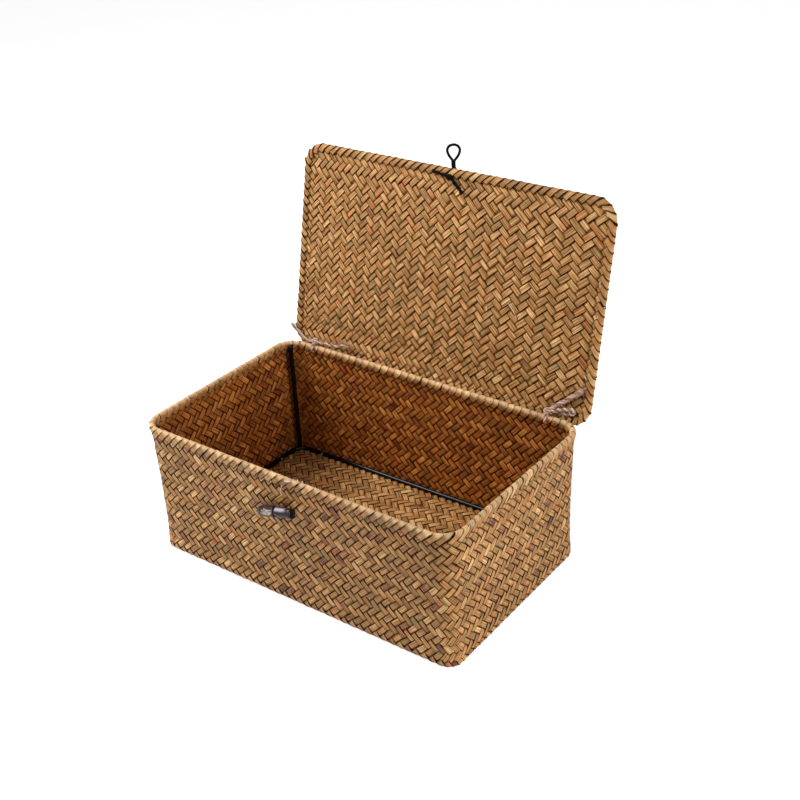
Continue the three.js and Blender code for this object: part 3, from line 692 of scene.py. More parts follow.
def reed_sweep(run, number, total, step, centre, up, weave, lift, rng, way, width=None, lean=0,
               variety=1):
    """Reeds with their small faults. lean, as a tangent, makes their lower edges stand out;
    variety scales how much their tones differ."""
    tone, upper, lower, tilt = reed_looks(number, total, step, way, rng, TONE_SPREAD * variety)
    side = unit(np.cross(up, np.gradient(centre, axis=0)))
    near, far = (weave.edge_wander * shift for shift in (upper, lower))
    centre = centre - side * ((near + far) / 2)[:, None]
    up = up + side * (tilt * TILT_SHARE + way * lean)[:, None]
    half_width = ((weave.reed_width if width is None else width) + far - near) / 2
    half_thick = np.full(len(run), weave.reed_thickness / 2)
    starts = rng.uniform(0, REED_START_RANGE, total)[number]
    turned = (np.sign(lift[1:]) != np.sign(lift[:-1])) | (run[1:] != run[:-1])
    span = np.concatenate([[0], np.cumsum(turned)])
    tone = tone + rng.normal(0, weave.span_variety * variety, span[-1] + 1)[span]
    tone = np.clip(tone, 0.01, 0.99)
    part = sweep(run, centre, up, np.stack([half_width, half_thick], -1), REED_SECTION_SHARES,
                 tone=tone, lift=np.abs(lift), start=starts)
    part["side"] = part["side"] * way
    return part


# ---------------------------------------------------------------- finishes


def add_node(tree, kind, inputs=None, **settings):
    """Adds a node, sets its options, and sets or links its inputs."""
    made = tree.nodes.new(kind)
    for key, value in settings.items():
        setattr(made, key, value)
    for key, value in (inputs or {}).items():
        if isinstance(value, bpy.types.NodeSocket):
            tree.links.new(value, made.inputs[key])
        else:
            made.inputs[key].default_value = value
    return made


def math_node(tree, operation, first, second=0.0, third=0.0, clamp=False):
    """One step of arithmetic."""
    return add_node(tree, "ShaderNodeMath", {0: first, 1: second, 2: third},
                    operation=operation, use_clamp=clamp).outputs[0]


def map_range(tree, value, low, high, to_low, to_high):
    """Smooth step that carries low to high over to to_low to to_high."""
    return add_node(tree, "ShaderNodeMapRange", {
        "Value": value, "From Min": low, "From Max": high, "To Min": to_low, "To Max": to_high,
    }, interpolation_type="SMOOTHSTEP").outputs[0]


def noise(tree, vector, scale, detail=3.0, roughness=0.55):
    """Cloudy values from 0 to 1."""
    return add_node(tree, "ShaderNodeTexNoise", {
        "Vector": vector, "Scale": scale, "Detail": detail, "Roughness": roughness,
    }).outputs["Fac"]


def ramp(tree, value, stops):
    """A colour ramp through the given places and colours."""
    made = add_node(tree, "ShaderNodeValToRGB", {"Fac": value})
    elements = made.color_ramp.elements
    while len(elements) < len(stops):
        elements.new(0.5)
    for element, (place, shade) in zip(elements, stops):
        element.position = place
        element.color = (*shade, 1)
    return made.outputs["Color"]


def mix_colour(tree, factor, first, second, blend="MIX"):
    """The first colour, and by the factor the second over it."""
    made = add_node(tree, "ShaderNodeMix", data_type="RGBA", blend_type=blend)
    for socket, value in zip((made.inputs[0], made.inputs[6], made.inputs[7]),
                             (factor, first, second)):
        if isinstance(value, bpy.types.NodeSocket):
            tree.links.new(value, socket)
        else:
            socket.default_value = value if isinstance(value, float) else (*value, 1)
    return made.outputs[2]


def new_material(name, **fixed):
    """A material with its node tree and its shader, whose uniform values are set on it."""
    made = bpy.data.materials.new(name)
    made.use_nodes = True
    tree = made.node_tree
    shader = tree.nodes["Principled BSDF"]
    for key, value in fixed.items():
        shader.inputs[key.replace("_", " ")].default_value = value
    return made, tree, shader


def reed_uv(tree):
    """Length along a reed, ply or cord, and distance from its middle, in metres."""
    return add_node(tree, "ShaderNodeUVMap", uv_map="reed").outputs[0]


def place_on_piece(tree):
    """Object coordinates."""
    return add_node(tree, "ShaderNodeTexCoord").outputs["Object"]


def attribute(tree, name):
    """A value that the mesh carries."""
    return add_node(tree, "ShaderNodeAttribute", attribute_name=name).outputs["Fac"]


def stretched(tree, vector, scale, shift=0.0):
    """Coordinates scaled along each axis, and moved along the third."""
    return add_node(tree, "ShaderNodeMapping", {
        "Vector": vector, "Scale": scale, "Location": (0, 0, shift),
    }).outputs[0]


def times(tree, *factors):
    """The product of all the factors."""
    product = factors[0]
    for factor in factors[1:]:
        product = math_node(tree, "MULTIPLY", product, factor)
    return product


def link(tree, shader, **values):
    """Links values to the shader's inputs of those names."""
    for key, value in values.items():
        tree.links.new(value, shader.inputs[key.replace("_", " ")])


def bump(tree, shader, height, distance, strength=0.6):
    """Relief of that depth on the shader."""
    made = add_node(tree, "ShaderNodeBump", {
        "Height": height, "Distance": distance, "Strength": strength,
    })
    link(tree, shader, Normal=made.outputs["Normal"])


def reed_material(colours, name, inner_face=0, lightness=1.0, stripes=0.28, upper_edge=0.03):
    """Dried seagrass: tone and blotches pick the colour, some stretches turn orange, fibres and
    a few clefts run along the reed, and painted shade darkens its edges and the places where it
    dives under its neighbours; upper_edge is how dark the painted shade on its upper edge gets,
    and the borders' crests get a painted highlight. inner_face is the side, +1 or -1, that lies
    inside the basket, whose faces get painted shade."""
    made, tree, shader = new_material(name)
    uv = reed_uv(tree)
    tone, lift, face, side = (attribute(tree, key) for key in ("tone", "lift", "face", "side"))
    fibre = noise(tree, stretched(tree, uv, (90, 3000, 1)), 1.0, 3.0, 0.7)
    stalk = noise(tree, stretched(tree, uv, (30, 1350, 1), 9.0), 1.0, 2.0, 0.6)
    blotch = noise(tree, stretched(tree, uv, (70, 110, 1), 17.0), 1.0, 3.0)
    blush = noise(tree, stretched(tree, uv, (40, 130, 1), 23.0), 1.0, 2.0)
    patch = math_node(tree, "MULTIPLY_ADD", blotch, 0.6, -0.3)
    streak = math_node(tree, "MULTIPLY_ADD", stalk, 0.8, -0.4)
    chosen = math_node(tree, "ADD", math_node(tree, "ADD", tone, patch), streak, clamp=True)
    shade = ramp(tree, chosen, [
        (0.0, colours.reed_dark), (0.12, colours.reed_brown), (0.3, colours.reed_olive),
        (0.52, colours.reed_tan), (0.74, colours.reed_light), (0.96, colours.reed_pale),
    ])
    shade = mix_colour(tree, map_range(tree, blush, 0.54, 0.68, 0.0, 0.6), shade,
                       colours.reed_orange)
    # Painted highlight: the borders' crests paled towards the crest colour
    shade = mix_colour(tree, map_range(tree, lift, 1.0, 2.0, 0.0, 0.45), shade,
                       colours.crest_highlight)
    # Painted shade on the faces inside the basket
    if inner_face:
        inside = map_range(tree, math_node(tree, "MULTIPLY", face, float(inner_face)),
                           -0.1, 0.1, 0.0, 1.0)
        shade = mix_colour(tree, inside, shade, colours.inside_shade, "MULTIPLY")
    # Painted shade: lower and upper edges darken, as in the gaps and shadows between reeds, and
    # dive darkens where a reed goes under its neighbours
    lower = map_range(tree, side, -0.93, -0.58, 0.03, 1.0)
    upper = map_range(tree, side, 0.64, 0.93, 1.0, upper_edge)
    dive = map_range(tree, lift, 0.0, 0.85, 0.2, 1.0)
    # Painted highlight: the borders' crests brightened
    crest = map_range(tree, lift, 1.0, 2.0, 1.0, 1.3)
    grain = map_range(tree, fibre, 0.3, 0.7, 0.78, 1.2)
    stripe = map_range(tree, stalk, 0.34, 0.64, 1 - stripes * 1.2, 1 + stripes)
    cleft = map_range(tree, stalk, 0.3, 0.36, 1 - stripes * 2.1, 1.0)
    # dark holds the painted shade and highlight together with the grain, stripes and clefts
    dark = times(tree, lower, upper, dive, crest, grain, stripe, cleft, lightness)
    warm = add_node(tree, "ShaderNodeCombineColor", {
        "Red": dark, "Green": math_node(tree, "POWER", dark, 1.12),
        "Blue": math_node(tree, "POWER", dark, 1.4),
    }).outputs[0]
    link(tree, shader, Base_Color=mix_colour(tree, 1.0, shade, warm, "MULTIPLY"),
         Specular_IOR_Level=map_range(tree, dark, 0.2, 1.0, 0.05, 0.36),
         Roughness=map_range(tree, fibre, 0.25, 0.75, 0.42, 0.7))
    relief = math_node(tree, "MULTIPLY_ADD", stalk, 1.5, math_node(tree, "MULTIPLY", fibre, 0.5))
    bump(tree, shader, relief, 0.0004, 0.7)
    return made


def wire_material(colours, name):
    """Black lacquer on wire: nearly even, with faint runs and rubbed patches."""
    made, tree, shader = new_material(name, Specular_IOR_Level=0.18)
    place = place_on_piece(tree)
    runs = noise(tree, place, 420.0, 3.0)
    wear_and_highlight = map_range(tree, noise(tree, place, 90.0, 4.0), 0.55, 0.75, 0.0, 0.35)
    link(tree, shader, Base_Color=mix_colour(tree, wear_and_highlight, colours.wire, paint(38, 35, 33)),
         Roughness=map_range(tree, runs, 0.3, 0.7, 0.09, 0.18))
    bump(tree, shader, runs, 0.00012, 0.4)
    return made


def nylon_material(colours, name):
    """Clear nylon thread, milky and a little uneven, with white knots where the tone is one."""
    made, tree, shader = new_material(name, IOR=1.2)
    cloud = noise(tree, place_on_piece(tree), 700.0, 2.0)
    link(tree, shader, Base_Color=mix_colour(tree, cloud, colours.nylon, paint(205, 200, 188)),
         Transmission_Weight=map_range(tree, attribute(tree, "tone"), 0.5, 1.0, 0.92, 0.0),
         Roughness=map_range(tree, cloud, 0.3, 0.7, 0.25, 0.45))
    return made


def twine_material(colours, name):
    """Jute twine: fibres run along each ply, and painted shade steps the plies from dark to pale.
    """
    made, tree, shader = new_material(name, Specular_IOR_Level=0.2,
                                      Sheen_Weight=0.12, Sheen_Roughness=0.5)
    fibre = noise(tree, stretched(tree, reed_uv(tree), (900, 5200, 1)), 1.0)
    cloud = noise(tree, place_on_piece(tree), 380.0)
    clouds = math_node(tree, "MULTIPLY", cloud, 0.5)
    pick = math_node(tree, "MULTIPLY_ADD", fibre, 0.7, clouds)
    # tone: the painted shade of each ply; fibres take a random tone and straws a pale one
    depth = math_node(tree, "MULTIPLY_ADD", attribute(tree, "tone"), 0.4, -0.1)
    shade = ramp(tree, math_node(tree, "ADD", pick, depth, clamp=True), [
        (0.42, colours.twine_dark), (0.64, colours.twine), (0.84, paint(240, 214, 194)),
    ])
    link(tree, shader, Base_Color=shade, Roughness=map_range(tree, fibre, 0.3, 0.7, 0.8, 0.98))
    bump(tree, shader, fibre, 0.0003, 0.8)
    return made


def elastic_material(colours, name):
    """Black braided elastic: a fine diamond braid with a soft sheen."""
    made, tree, shader = new_material(name, Specular_IOR_Level=0.06)
    split = add_node(tree, "ShaderNodeSeparateXYZ", {0: reed_uv(tree)})
    along, across = (math_node(tree, "MULTIPLY", split.outputs[axis], waves)
                     for axis, waves in ((0, 7000.0), (1, 5000.0)))
    braid = times(tree, *(math_node(tree, "SINE", math_node(tree, slant, along, across))
                          for slant in ("ADD", "SUBTRACT")))
    crossing = map_range(tree, braid, -1.0, 1.0, 0.0, 1.0)
    link(tree, shader, Base_Color=mix_colour(tree, crossing, colours.elastic, paint(17, 16, 16)),
         Roughness=map_range(tree, braid, -1.0, 1.0, 0.75, 0.5))
    bump(tree, shader, braid, 0.00008, 0.6)
    return made


def toggle_material(colours, name):
    """Dark horn, waxed: purple-brown clouds, a pale worn patch on the left half, a band of
    painted highlight on the right half, and a dull greenish-black cut end."""
    made, tree, shader = new_material(name, Specular_IOR_Level=0.05, Coat_Weight=0.3,
                                      Coat_Roughness=0.07)
    worn, body, highlight = (attribute(tree, key) for key in ("tone", "lift", "side"))
    place = place_on_piece(tree)
    cloud = noise(tree, place, 210.0, 4.0)
    grain = noise(tree, stretched(tree, reed_uv(tree), (160, 1500, 1)), 1.0)
    base = ramp(tree, cloud, [
        (0.3, paint(22, 14, 19)), (0.5, colours.toggle), (0.72, paint(78, 50, 58)),
    ])
    streaked = stretched(tree, place, (0.4, 1, 1.3))
    ragged = math_node(tree, "MULTIPLY_ADD", noise(tree, streaked, 640.0, 3.0, 0.6), 1.6, -0.8)
    patch = map_range(tree, math_node(tree, "ADD", worn, ragged), 0.38, 0.5, 0.0, 1.0)
    crack = map_range(tree, noise(tree, streaked, 1500.0, 2.0), 0.38, 0.46, 0.0, 1.0)
    pale = ramp(tree, grain, [
        (0.3, paint(128, 100, 96)), (0.5, colours.toggle_worn), (0.7, paint(236, 220, 208)),
    ])
    shade = mix_colour(tree, times(tree, patch, crack), base, pale)
    # Painted highlight: the bright band on the right half
    shade = mix_colour(tree, highlight, shade, colours.toggle_highlight)
    link(tree, shader, Base_Color=mix_colour(tree, body, paint(22, 26, 22), shade),
         Roughness=map_range(tree, cloud, 0.3, 0.7, 0.2, 0.42))
    bump(tree, shader, math_node(tree, "MULTIPLY_ADD", grain, 0.5, cloud), 0.0002, 0.3)
    return made


def finish(colours, name, make=reed_material, *values):
    """The material of that name, made once."""
    return bpy.data.materials.get(name) or make(colours, name, *values)


# ---------------------------------------------------------------- pieces


def make_piece(name, parts, material, body, replaced=()):
    """Puts worked-out parts into one mesh, rides it on its body and hides the parts that it
    stands for.
    """
    joined = {key: np.concatenate([part[key] for part in parts])
              for key in ("points", "counts", "uv", "tone", "lift", "face", "side")}
    shifts = np.cumsum([0] + [len(part["points"]) for part in parts])
    loops = np.concatenate([part["loops"] + shift for part, shift in zip(parts, shifts)])
    starts = np.concatenate([[0], np.cumsum(joined["counts"])[:-1]])
    mesh = bpy.data.meshes.new(name)
    mesh.vertices.add(len(joined["points"]))
    mesh.loops.add(len(loops))
    mesh.polygons.add(len(starts))
    mesh.vertices.foreach_set("co", joined["points"].astype(np.float32).ravel())
    mesh.loops.foreach_set("vertex_index", loops.astype(np.int32))
    mesh.polygons.foreach_set("loop_start", starts.astype(np.int32))
    mesh.update(calc_edges=True)
    mesh.polygons.foreach_set("use_smooth", np.ones(len(starts), bool))
    layer = mesh.uv_layers.new(name="reed")
    layer.data.foreach_set("uv", joined["uv"][loops].astype(np.float32).ravel())
    for key in ("tone", "lift", "face", "side"):
        mesh.attributes.new(key, "FLOAT", "POINT").data.foreach_set(
            "value", joined[key].astype(np.float32))
    mesh.materials.append(material)
    made = bpy.data.objects.new(name, mesh)
    bpy.context.scene.collection.objects.link(made)
    if body:
        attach(made, body)
    if replaced:
        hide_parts(*replaced)
    return made


def turn_open(directions, lid):
    """Closed-lid directions turned as the lid stands open."""
    x, y, z = np.moveaxis(np.asarray(directions, float), -1, 0)
    cosine, sine = math.cos(lid.open_angle), math.sin(lid.open_angle)
    return np.stack([x, y * cosine + z * sine, -y * sine + z * cosine], -1)


def swing_open(points, lid, basket):
    """Closed-lid points carried to where the lid stands open, about the back rim."""
    return turn_open(points, lid) + (0, basket.rim_depth / 2, basket.rim_height)


def path_length(path):
    """Sum of the distances between a path's points."""
    return float(np.linalg.norm(np.diff(path, axis=0), axis=1).sum())


def wall_reeds(settings, way, numbers, rng):
    """Reeds of one slant on the walls. Reed i crosses reed j where the length along the wall is
    half the pitch times (i + j) and the height is the row's rise times (j - i + row shift)."""
    basket, weave = settings.basket, settings.weave
    whole = perimeter(rim_line(basket))
    count = round(whole / weave.reed_pitch)
    top = basket.rim_height - WALL_STOP_DROP
    steps = np.arange(WALL_START / weave.row_rise, top / weave.row_rise, 1 / weave.samples)
    run = np.repeat(np.arange(len(numbers)), len(steps))
    step = np.tile(steps - WALL_ROW_SHIFT, len(numbers))
    number = numbers[run]
    along = whole / count / 2 * (2 * number + way * step)
    height = (step + WALL_ROW_SHIFT) * weave.row_rise
    centre, outward = wall_surface(basket, along, height)
    lift = twill(step + WALL_PHASE) * way
    tuck = np.clip((height - basket.rim_height + TUCK_DROP) / TUCK_LENGTH, 0, 1)
    centre = centre + outward * (lift * weave.weave_depth * (1 - TUCK_SHARE * tuck))[:, None]
    return reed_sweep(run, number, count, step, centre, outward, weave, lift, rng, way)


class WOVENBOX_OT_walls(bpy.types.Operator):
    """Weaves the four walls from rising and falling reeds"""
    bl_idname = "wovenbox.walls"
    bl_label = "Weave the walls"

    def execute(self, context):
        settings = context.scene.woven_box
        count = round(perimeter(rim_line(settings.basket)) / settings.weave.reed_pitch)
        material = finish(settings.colours, "wall_reed", reed_material, -1, 1.1)
        for slant, way in SLANTS:
            for half, first, last in (("front", 0, count // 2), ("back", count // 2, count)):
                part = wall_reeds(settings, way, np.arange(first, last),
                                  np.random.default_rng(WALL_SEEDS[slant]))
                make_piece(f"wall_reeds_{slant}_{half}", [part], material, "basket",
                           ["woven_wall"] if (slant, half) == ("rising", "front") else ())
        return {"FINISHED"}


def grown(count, pitch, growth, whole):
    """Place along a panel of a crossing number, where the pitch grows evenly as a power of e:
    minus the length over the growth, times the logarithm of one minus the growth's share."""
    if not growth:
        return count * pitch / 2
    return -whole / growth * np.log(1 - growth * count * pitch / 2 / whole)


def flat_reeds(way, border, pitch, rise, samples, lift_of, growth=0.0):
    """Reeds of one slant on a flat panel about the origin, kept where the panel is. lift_of
    gives their height from the two crossing numbers, along and up, and the place."""
    half_length, half_depth, _ = border
    reach = int((half_length + half_depth * pitch / rise) / pitch * SPARE_SHARE) + SPARE_REEDS
    numbers = np.arange(-reach, reach + 1)
    steps = np.arange(-half_depth / rise, half_depth / rise, 1 / samples)
    run = np.repeat(np.arange(len(numbers)), len(steps))
    step = np.tile(steps, len(numbers))
    along = 2 * numbers[run] + way * step
    x, y = grown(along, pitch, growth, half_length * 2), step * rise
    kept = inside_rounded(x, y, *border)
    _, run = np.unique(run[kept], return_inverse=True)
    whole = np.bincount(run)[run] > samples
    _, run = np.unique(run[whole], return_inverse=True)
    x, y, step, along = (part[kept][whole] for part in (x, y, step, along))
    return run, step, x, y, lift_of(along, step, x, y) * way


class WOVENBOX_OT_floor(bpy.types.Operator):
    """Weaves the base of the basket"""
    bl_idname = "wovenbox.floor"
    bl_label = "Weave the base"

    def execute(self, context):
        settings = context.scene.woven_box
        basket, weave = settings.basket, settings.weave
        material = finish(settings.colours, "floor_reed")
        inset = (basket.wall_waist + basket.foot_round - basket.wall_thickness / 2
                 - BASE_OVERLAP)
        border = (basket.rim_length / 2 - inset, basket.rim_depth / 2 - inset,
                  basket.foot_corner - inset / 2)
        for slant, way in SLANTS:
            run, step, x, y, lift = flat_reeds(
                way, border, weave.reed_pitch, weave.row_rise, BASE_SAMPLES,
                lambda along, up, x, y: twill(up))
            edge = np.minimum(border[0] - np.abs(x), border[1] - np.abs(y))
            share = np.clip(edge / basket.base_slope, 0, 1)
            kick = basket.base_kick + basket.right_lift * (x / basket.rim_length + 0.5)
            level = basket.wall_thickness / 2 + BASE_CLEARANCE
            height = level + kick * share ** 2 * (3 - 2 * share) + lift * weave.weave_depth
            centre = np.stack([x, y, height], -1)
            part = reed_sweep(run, run, int(run.max()) + 1, step, centre,
                              np.broadcast_to(UP, centre.shape), weave, lift,
                              np.random.default_rng(BASE_SEEDS[slant]), way)
            make_piece(f"base_reeds_{slant}", [part], material, "basket",
                       ["woven_base"] if slant == "rising" else ())
        return {"FINISHED"}


class WOVENBOX_OT_lid(bpy.types.Operator):
    """Weaves the lid: chevrons in columns, with turned rows along its front and back"""
    bl_idname = "wovenbox.lid"
    bl_label = "Weave the lid"

    def execute(self, context):
        settings = context.scene.woven_box
        basket, weave, lid = settings.basket, settings.weave, settings.lid
        material = finish(settings.colours, "lid_reed", reed_material, 0, 1.12, 0.34, 0.16)
        band = lid.lid_depth / 2 - LID_ROWS_DEPTH
        border = (lid.lid_length / 2 - LID_INSET, lid.lid_depth / 2 - LID_INSET, lid.lid_corner)

        def lift_of(along, up, x, y):
            middle = 1 / (1 + np.exp(-(band - np.abs(y)) / LID_ROWS_BLEND))
            return twill(along) * middle + twill(up) * (1 - middle)

        for slant, way in SLANTS:
            run, step, x, y, lift = flat_reeds(way, border, weave.lid_pitch, weave.lid_rise,
                                               weave.samples, lift_of, weave.lid_growth)
            pitch = weave.lid_pitch * np.exp(weave.lid_growth * x / lid.lid_length)
            lane = pitch * weave.lid_rise / np.hypot(pitch / 2, weave.lid_rise)
            closed = np.stack([x + lid.lid_shift, -lid.lid_depth / 2 - y,
                               lid.hinge_orbit - lift * weave.weave_depth], -1)
            up = turn_open(np.broadcast_to(-UP, closed.shape), lid)
            part = reed_sweep(run, run, int(run.max()) + 1, step,
                              swing_open(closed, lid, basket), up, weave, lift,
                              np.random.default_rng(LID_SEEDS[slant]), way,
                              lane * LID_FILL_SHARE, LID_LEAN, LID_VARIETY_SHARE)
            make_piece(f"lid_reeds_{slant}", [part], material, "lid",
                       ["lid_panel"] if slant == "rising" else ())
        return {"FINISHED"}


def border_wraps(driving, profile, pitch, facing_way, rng, place, wear_and_highlight):
    """Reeds folded over a border, side by side. Each follows the profile: out and up from the
    border's centre line, length along the border, and overlap, where one just meets the next:
    the width is pitch times overlap times the cosine of the lean. Crests get a painted
    highlight, paler and brighter, and fainter painted edge shade, by the share given; the
    ends of each reed get painted shade. place turns outline point, outward direction, height
    and facing into points and directions."""
    whole = perimeter(driving)
    count = round(whole / pitch)
    profile = np.asarray(profile, float)
    steps = np.linalg.norm(np.diff(profile[:, :3], axis=0), axis=1)
    travel = np.concatenate([[0], np.cumsum(steps)])
    wanted = np.linspace(0, travel[-1], WRAP_RINGS)
    out, up, shift, overlap = (np.interp(wanted, travel, profile[:, k]) for k in range(4))
    width = pitch * overlap * np.sqrt(1 - np.gradient(shift, wanted) ** 2)
    smooth = np.array([0.25, 0.5, 0.25])
    out[1:-1], up[1:-1] = (np.convolve(line, smooth, "valid") for line in (out, up))
    slope = unit(np.stack([np.gradient(out), np.gradient(up)], -1)) * facing_way
    facing = np.stack([slope[:, 1], -slope[:, 0]], -1)
    run = np.repeat(np.arange(count), WRAP_RINGS)
    out, up, shift, width, facing = (
        np.tile(line, (count,) + (1,) * (line.ndim - 1))
        for line in (out, up, shift, width, facing))
    jitter = rng.normal(0, WRAP_JITTER_SHARE, count)[run] * pitch
    half_length, half_depth, radius = driving
    spot, outward = outline(run * whole / count + shift + jitter, half_length + out,
                            half_depth + out, radius + out, driving)
    centre, normal = place(spot, outward, up, facing)
    tone = np.clip(rng.normal(WRAP_TONE, WRAP_TONE_SPREAD, count), 0.03, 0.97)[run]
    half_width = width / 2 * rng.normal(1, WRAP_WIDTH_SPREAD, count)[run]
    size = np.stack([half_width, np.full(len(run), WRAP_THICKNESS / 2)], -1)
    part = sweep(run, centre, normal, size, REED_SECTION_SHARES, tone=tone,
                 start=rng.uniform(0, REED_START_RANGE, count)[run])
    corners = len(REED_SECTION_SHARES)
    # Painted highlight on the crests; lift carries it, and the painted shade at the ends
    crest = np.clip((up + CREST_DROP) / CREST_HEIGHT, 0, 1) * wear_and_highlight
    ring = np.arange(WRAP_RINGS)
    # Painted shade at both ends of each folded reed
    ends = np.clip(np.minimum(ring, ring[::-1]) / DARK_END_RINGS, 0, 1)
    part["side"] = part["side"] * np.repeat(1 - CREST_EDGE_SHARE * crest, corners)
    part["lift"] = np.repeat((1 + crest) * np.tile(ends, count), corners)
    return part


class WOVENBOX_OT_borders(bpy.types.Operator):
    """Folds reeds over the wires of the rim and of the lid"""
    bl_idname = "wovenbox.borders"
    bl_label = "Fold the borders"

    def execute(self, context):
        settings = context.scene.woven_box
        basket, lid, pitch = settings.basket, settings.lid, settings.weave.wrap_pitch
        material = finish(settings.colours, "border_reed", reed_material, 0, 1.0, 0.12)

        def raised(spot, outward, up, facing, level):
            return (np.concatenate([spot, (level + up)[:, None]], -1),
                    np.concatenate([outward * facing[:, :1], facing[:, 1:]], -1))

        def on_rim(spot, outward, up, facing):
            return raised(spot, outward, up, facing, basket.rim_height)

        def on_lid(spot, outward, up, facing):
            spot = spot + (lid.lid_shift, -lid.lid_depth / 2)
            point, normal = raised(spot, outward, up, facing, lid.hinge_orbit)
            return swing_open(point, lid, basket), turn_open(normal, lid)

        rim = border_wraps(rim_line(basket), RIM_PROFILE, pitch, 1,
                           np.random.default_rng(RIM_SEED), on_rim, RIM_CREST_HIGHLIGHT_SHARE)
        make_piece("rim_wraps", [rim], material, "basket", ["rim_border"])
        edge = border_wraps(lid_line(lid), LID_PROFILE, pitch, -1,
                            np.random.default_rng(LID_EDGE_SEED), on_lid, 0.0)
        make_piece("lid_border_wraps", [edge], material, "lid", ["lid_border"])
        return {"FINISHED"}


class WOVENBOX_OT_straws(bpy.types.Operator):
    """Leaves a few pale ends of reed and thread loose on the rim and on the lid"""
    bl_idname = "wovenbox.straws"
    bl_label = "Leave loose ends"

    def execute(self, context):
        settings = context.scene.woven_box
        material = finish(settings.colours, "jute_twine", twine_material)
        for name, straws, body in (("rim_straws", RIM_STRAWS, "basket"),
                                   ("lid_straws", LID_STRAWS, "lid")):
            parts = []
            for radius, *points in straws:
                path = smooth_path(points, STRAW_SPACING)
                if body == "lid":
                    path = swing_open(path, settings.lid, settings.basket)
                thin = radius * np.sqrt(np.maximum(0.1, 1 - np.linspace(-1, 1, len(path)) ** 4))
                parts.append(tube(path, thin, 6, STRAW_UP, tone=STRAW_TONE))
            make_piece(name, parts, material, body)
        return {"FINISHED"}


def lean_ring(points, basket):
    """Points of the lower ring raised evenly towards the right end."""
    return points + UP * (basket.right_lift * (points[:, :1] / basket.rim_length + 0.5))


class WOVENBOX_OT_wires(bpy.types.Operator):
    """Bends the wire frame: the lower ring and the corner posts; the hidden border rings get the
    wire's finish
    """
    bl_idname = "wovenbox.wires"
    bl_label = "Bend the wires"

    def execute(self, context):
        settings = context.scene.woven_box
        basket, fit = settings.basket, settings.fittings
        material = finish(settings.colours, "lacquered_wire", wire_material)
        driving = (fit.ring_length / 2, fit.ring_depth / 2, fit.ring_corner)
        along = np.arange(0, perimeter(driving), RING_SPACING)
        spot, _ = outline(along, *(np.full(len(along), size) for size in driving), driving)
        ring = np.concatenate([spot, np.full((len(along), 1), fit.ring_height)], -1)
        wire = tube(lean_ring(ring, basket), fit.wire_radius, WIRE_SIDES, closed=True)
        make_piece("foot_ring", [wire], material, "basket", ["frame_foot_ring"])
        for corner in ("front_left", "front_right", "back_right", "back_left"):
            low, high = (np.array(end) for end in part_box(f"frame_post_{corner}"))
            sign = np.array([1 if "right" in corner else -1, 1 if "back" in corner else -1])
            inner = np.where(sign > 0, low[:2], -high[:2])
            outer = np.where(sign > 0, high[:2], -low[:2])
            foot = np.append(sign * (inner + fit.wire_radius), low[2])
            head = np.append(sign * (outer - fit.wire_radius),
                             high[2] - POST_DROPS.get(corner, POST_DROP))
            share = np.linspace(0, 1, POST_POINTS)[:, None]
            bow = np.append(sign * POST_BOW, 0) * np.sin(share * math.pi)
            wire = tube(foot + (head - foot) * share - bow, fit.wire_radius, WIRE_SIDES,
                        BACKWARD)
            make_piece(f"post_{corner}", [wire], material, "basket",
                       [f"frame_post_{corner}"])
        for node in ("frame_top_ring", "lid_ring"):
            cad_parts[node].data.materials.clear()
            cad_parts[node].data.materials.append(material)
        return {"FINISHED"}


def stitch(low, high, thread_radius, rng):
    """Thread wound round the wire inside the box from low to high, with a bead on its inner
    side for the knot and two short ends."""
    middle, size = (low + high) / 2, high - low
    axis = int(np.argmin(size))
    first, second = [k for k in range(3) if k != axis]
    along = np.eye(3)[axis]
    radius = size[first] / 2 - thread_radius
    turn = np.linspace(0, TURN * THREAD_TURNS, 90) + rng.uniform(0, TURN)
    line = np.tile(middle, (len(turn), 1))
    line[:, first] += radius * np.cos(turn)
    line[:, second] += radius * np.sin(turn)
    line[:, axis] += np.linspace(-1, 1, len(turn)) * thread_radius * THREAD_SPREAD
    inward = np.zeros(3)
    inward[first] = -np.sign(middle[first])
    knot = middle + inward * radius + UP * radius * 0.4
    share = np.linspace(-1, 1, 9)
    bead = tube(knot + share[:, None] * along * BEAD_LENGTH,
                BEAD_RADIUS * np.sqrt(np.maximum(0.02, 1 - share ** 2)), 8, UP + 0.1 * inward,
                tone=1.0)
    ends = []
    near, far = THREAD_END_REACH
    for lift, sway in THREAD_ENDS:
        route = [knot, knot + inward * near + UP * lift,
                 knot + inward * far + UP * lift * 1.6 + along * sway]
        ends.append(tube(smooth_path(route, 0.0004), thread_radius * THREAD_END_SHARE, 6,
                         along + 0.1))
    return [tube(line, thread_radius * THREAD_SHARE, 6, along), bead, *ends]


class WOVENBOX_OT_stitches(bpy.types.Operator):
    """Ties the lower ring to the walls with nylon thread"""
    bl_idname = "wovenbox.stitches"
    bl_label = "Tie the stitches"

    def execute(self, context):
        settings = context.scene.woven_box
        material = finish(settings.colours, "nylon_thread", nylon_material)
        names = sorted(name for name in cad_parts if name.startswith("stitch_"))
        for seed, name in enumerate(names):
            low, high = (np.array(end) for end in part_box(name))
            parts = stitch(low, high, settings.fittings.thread_radius,
                           np.random.default_rng(STITCH_SEED + seed))
            for part in parts:
                part["points"] = lean_ring(part["points"], settings.basket)
            make_piece(name.replace("stitch_", "thread_"), parts, material, "basket",
                       [name])
        return {"FINISHED"}


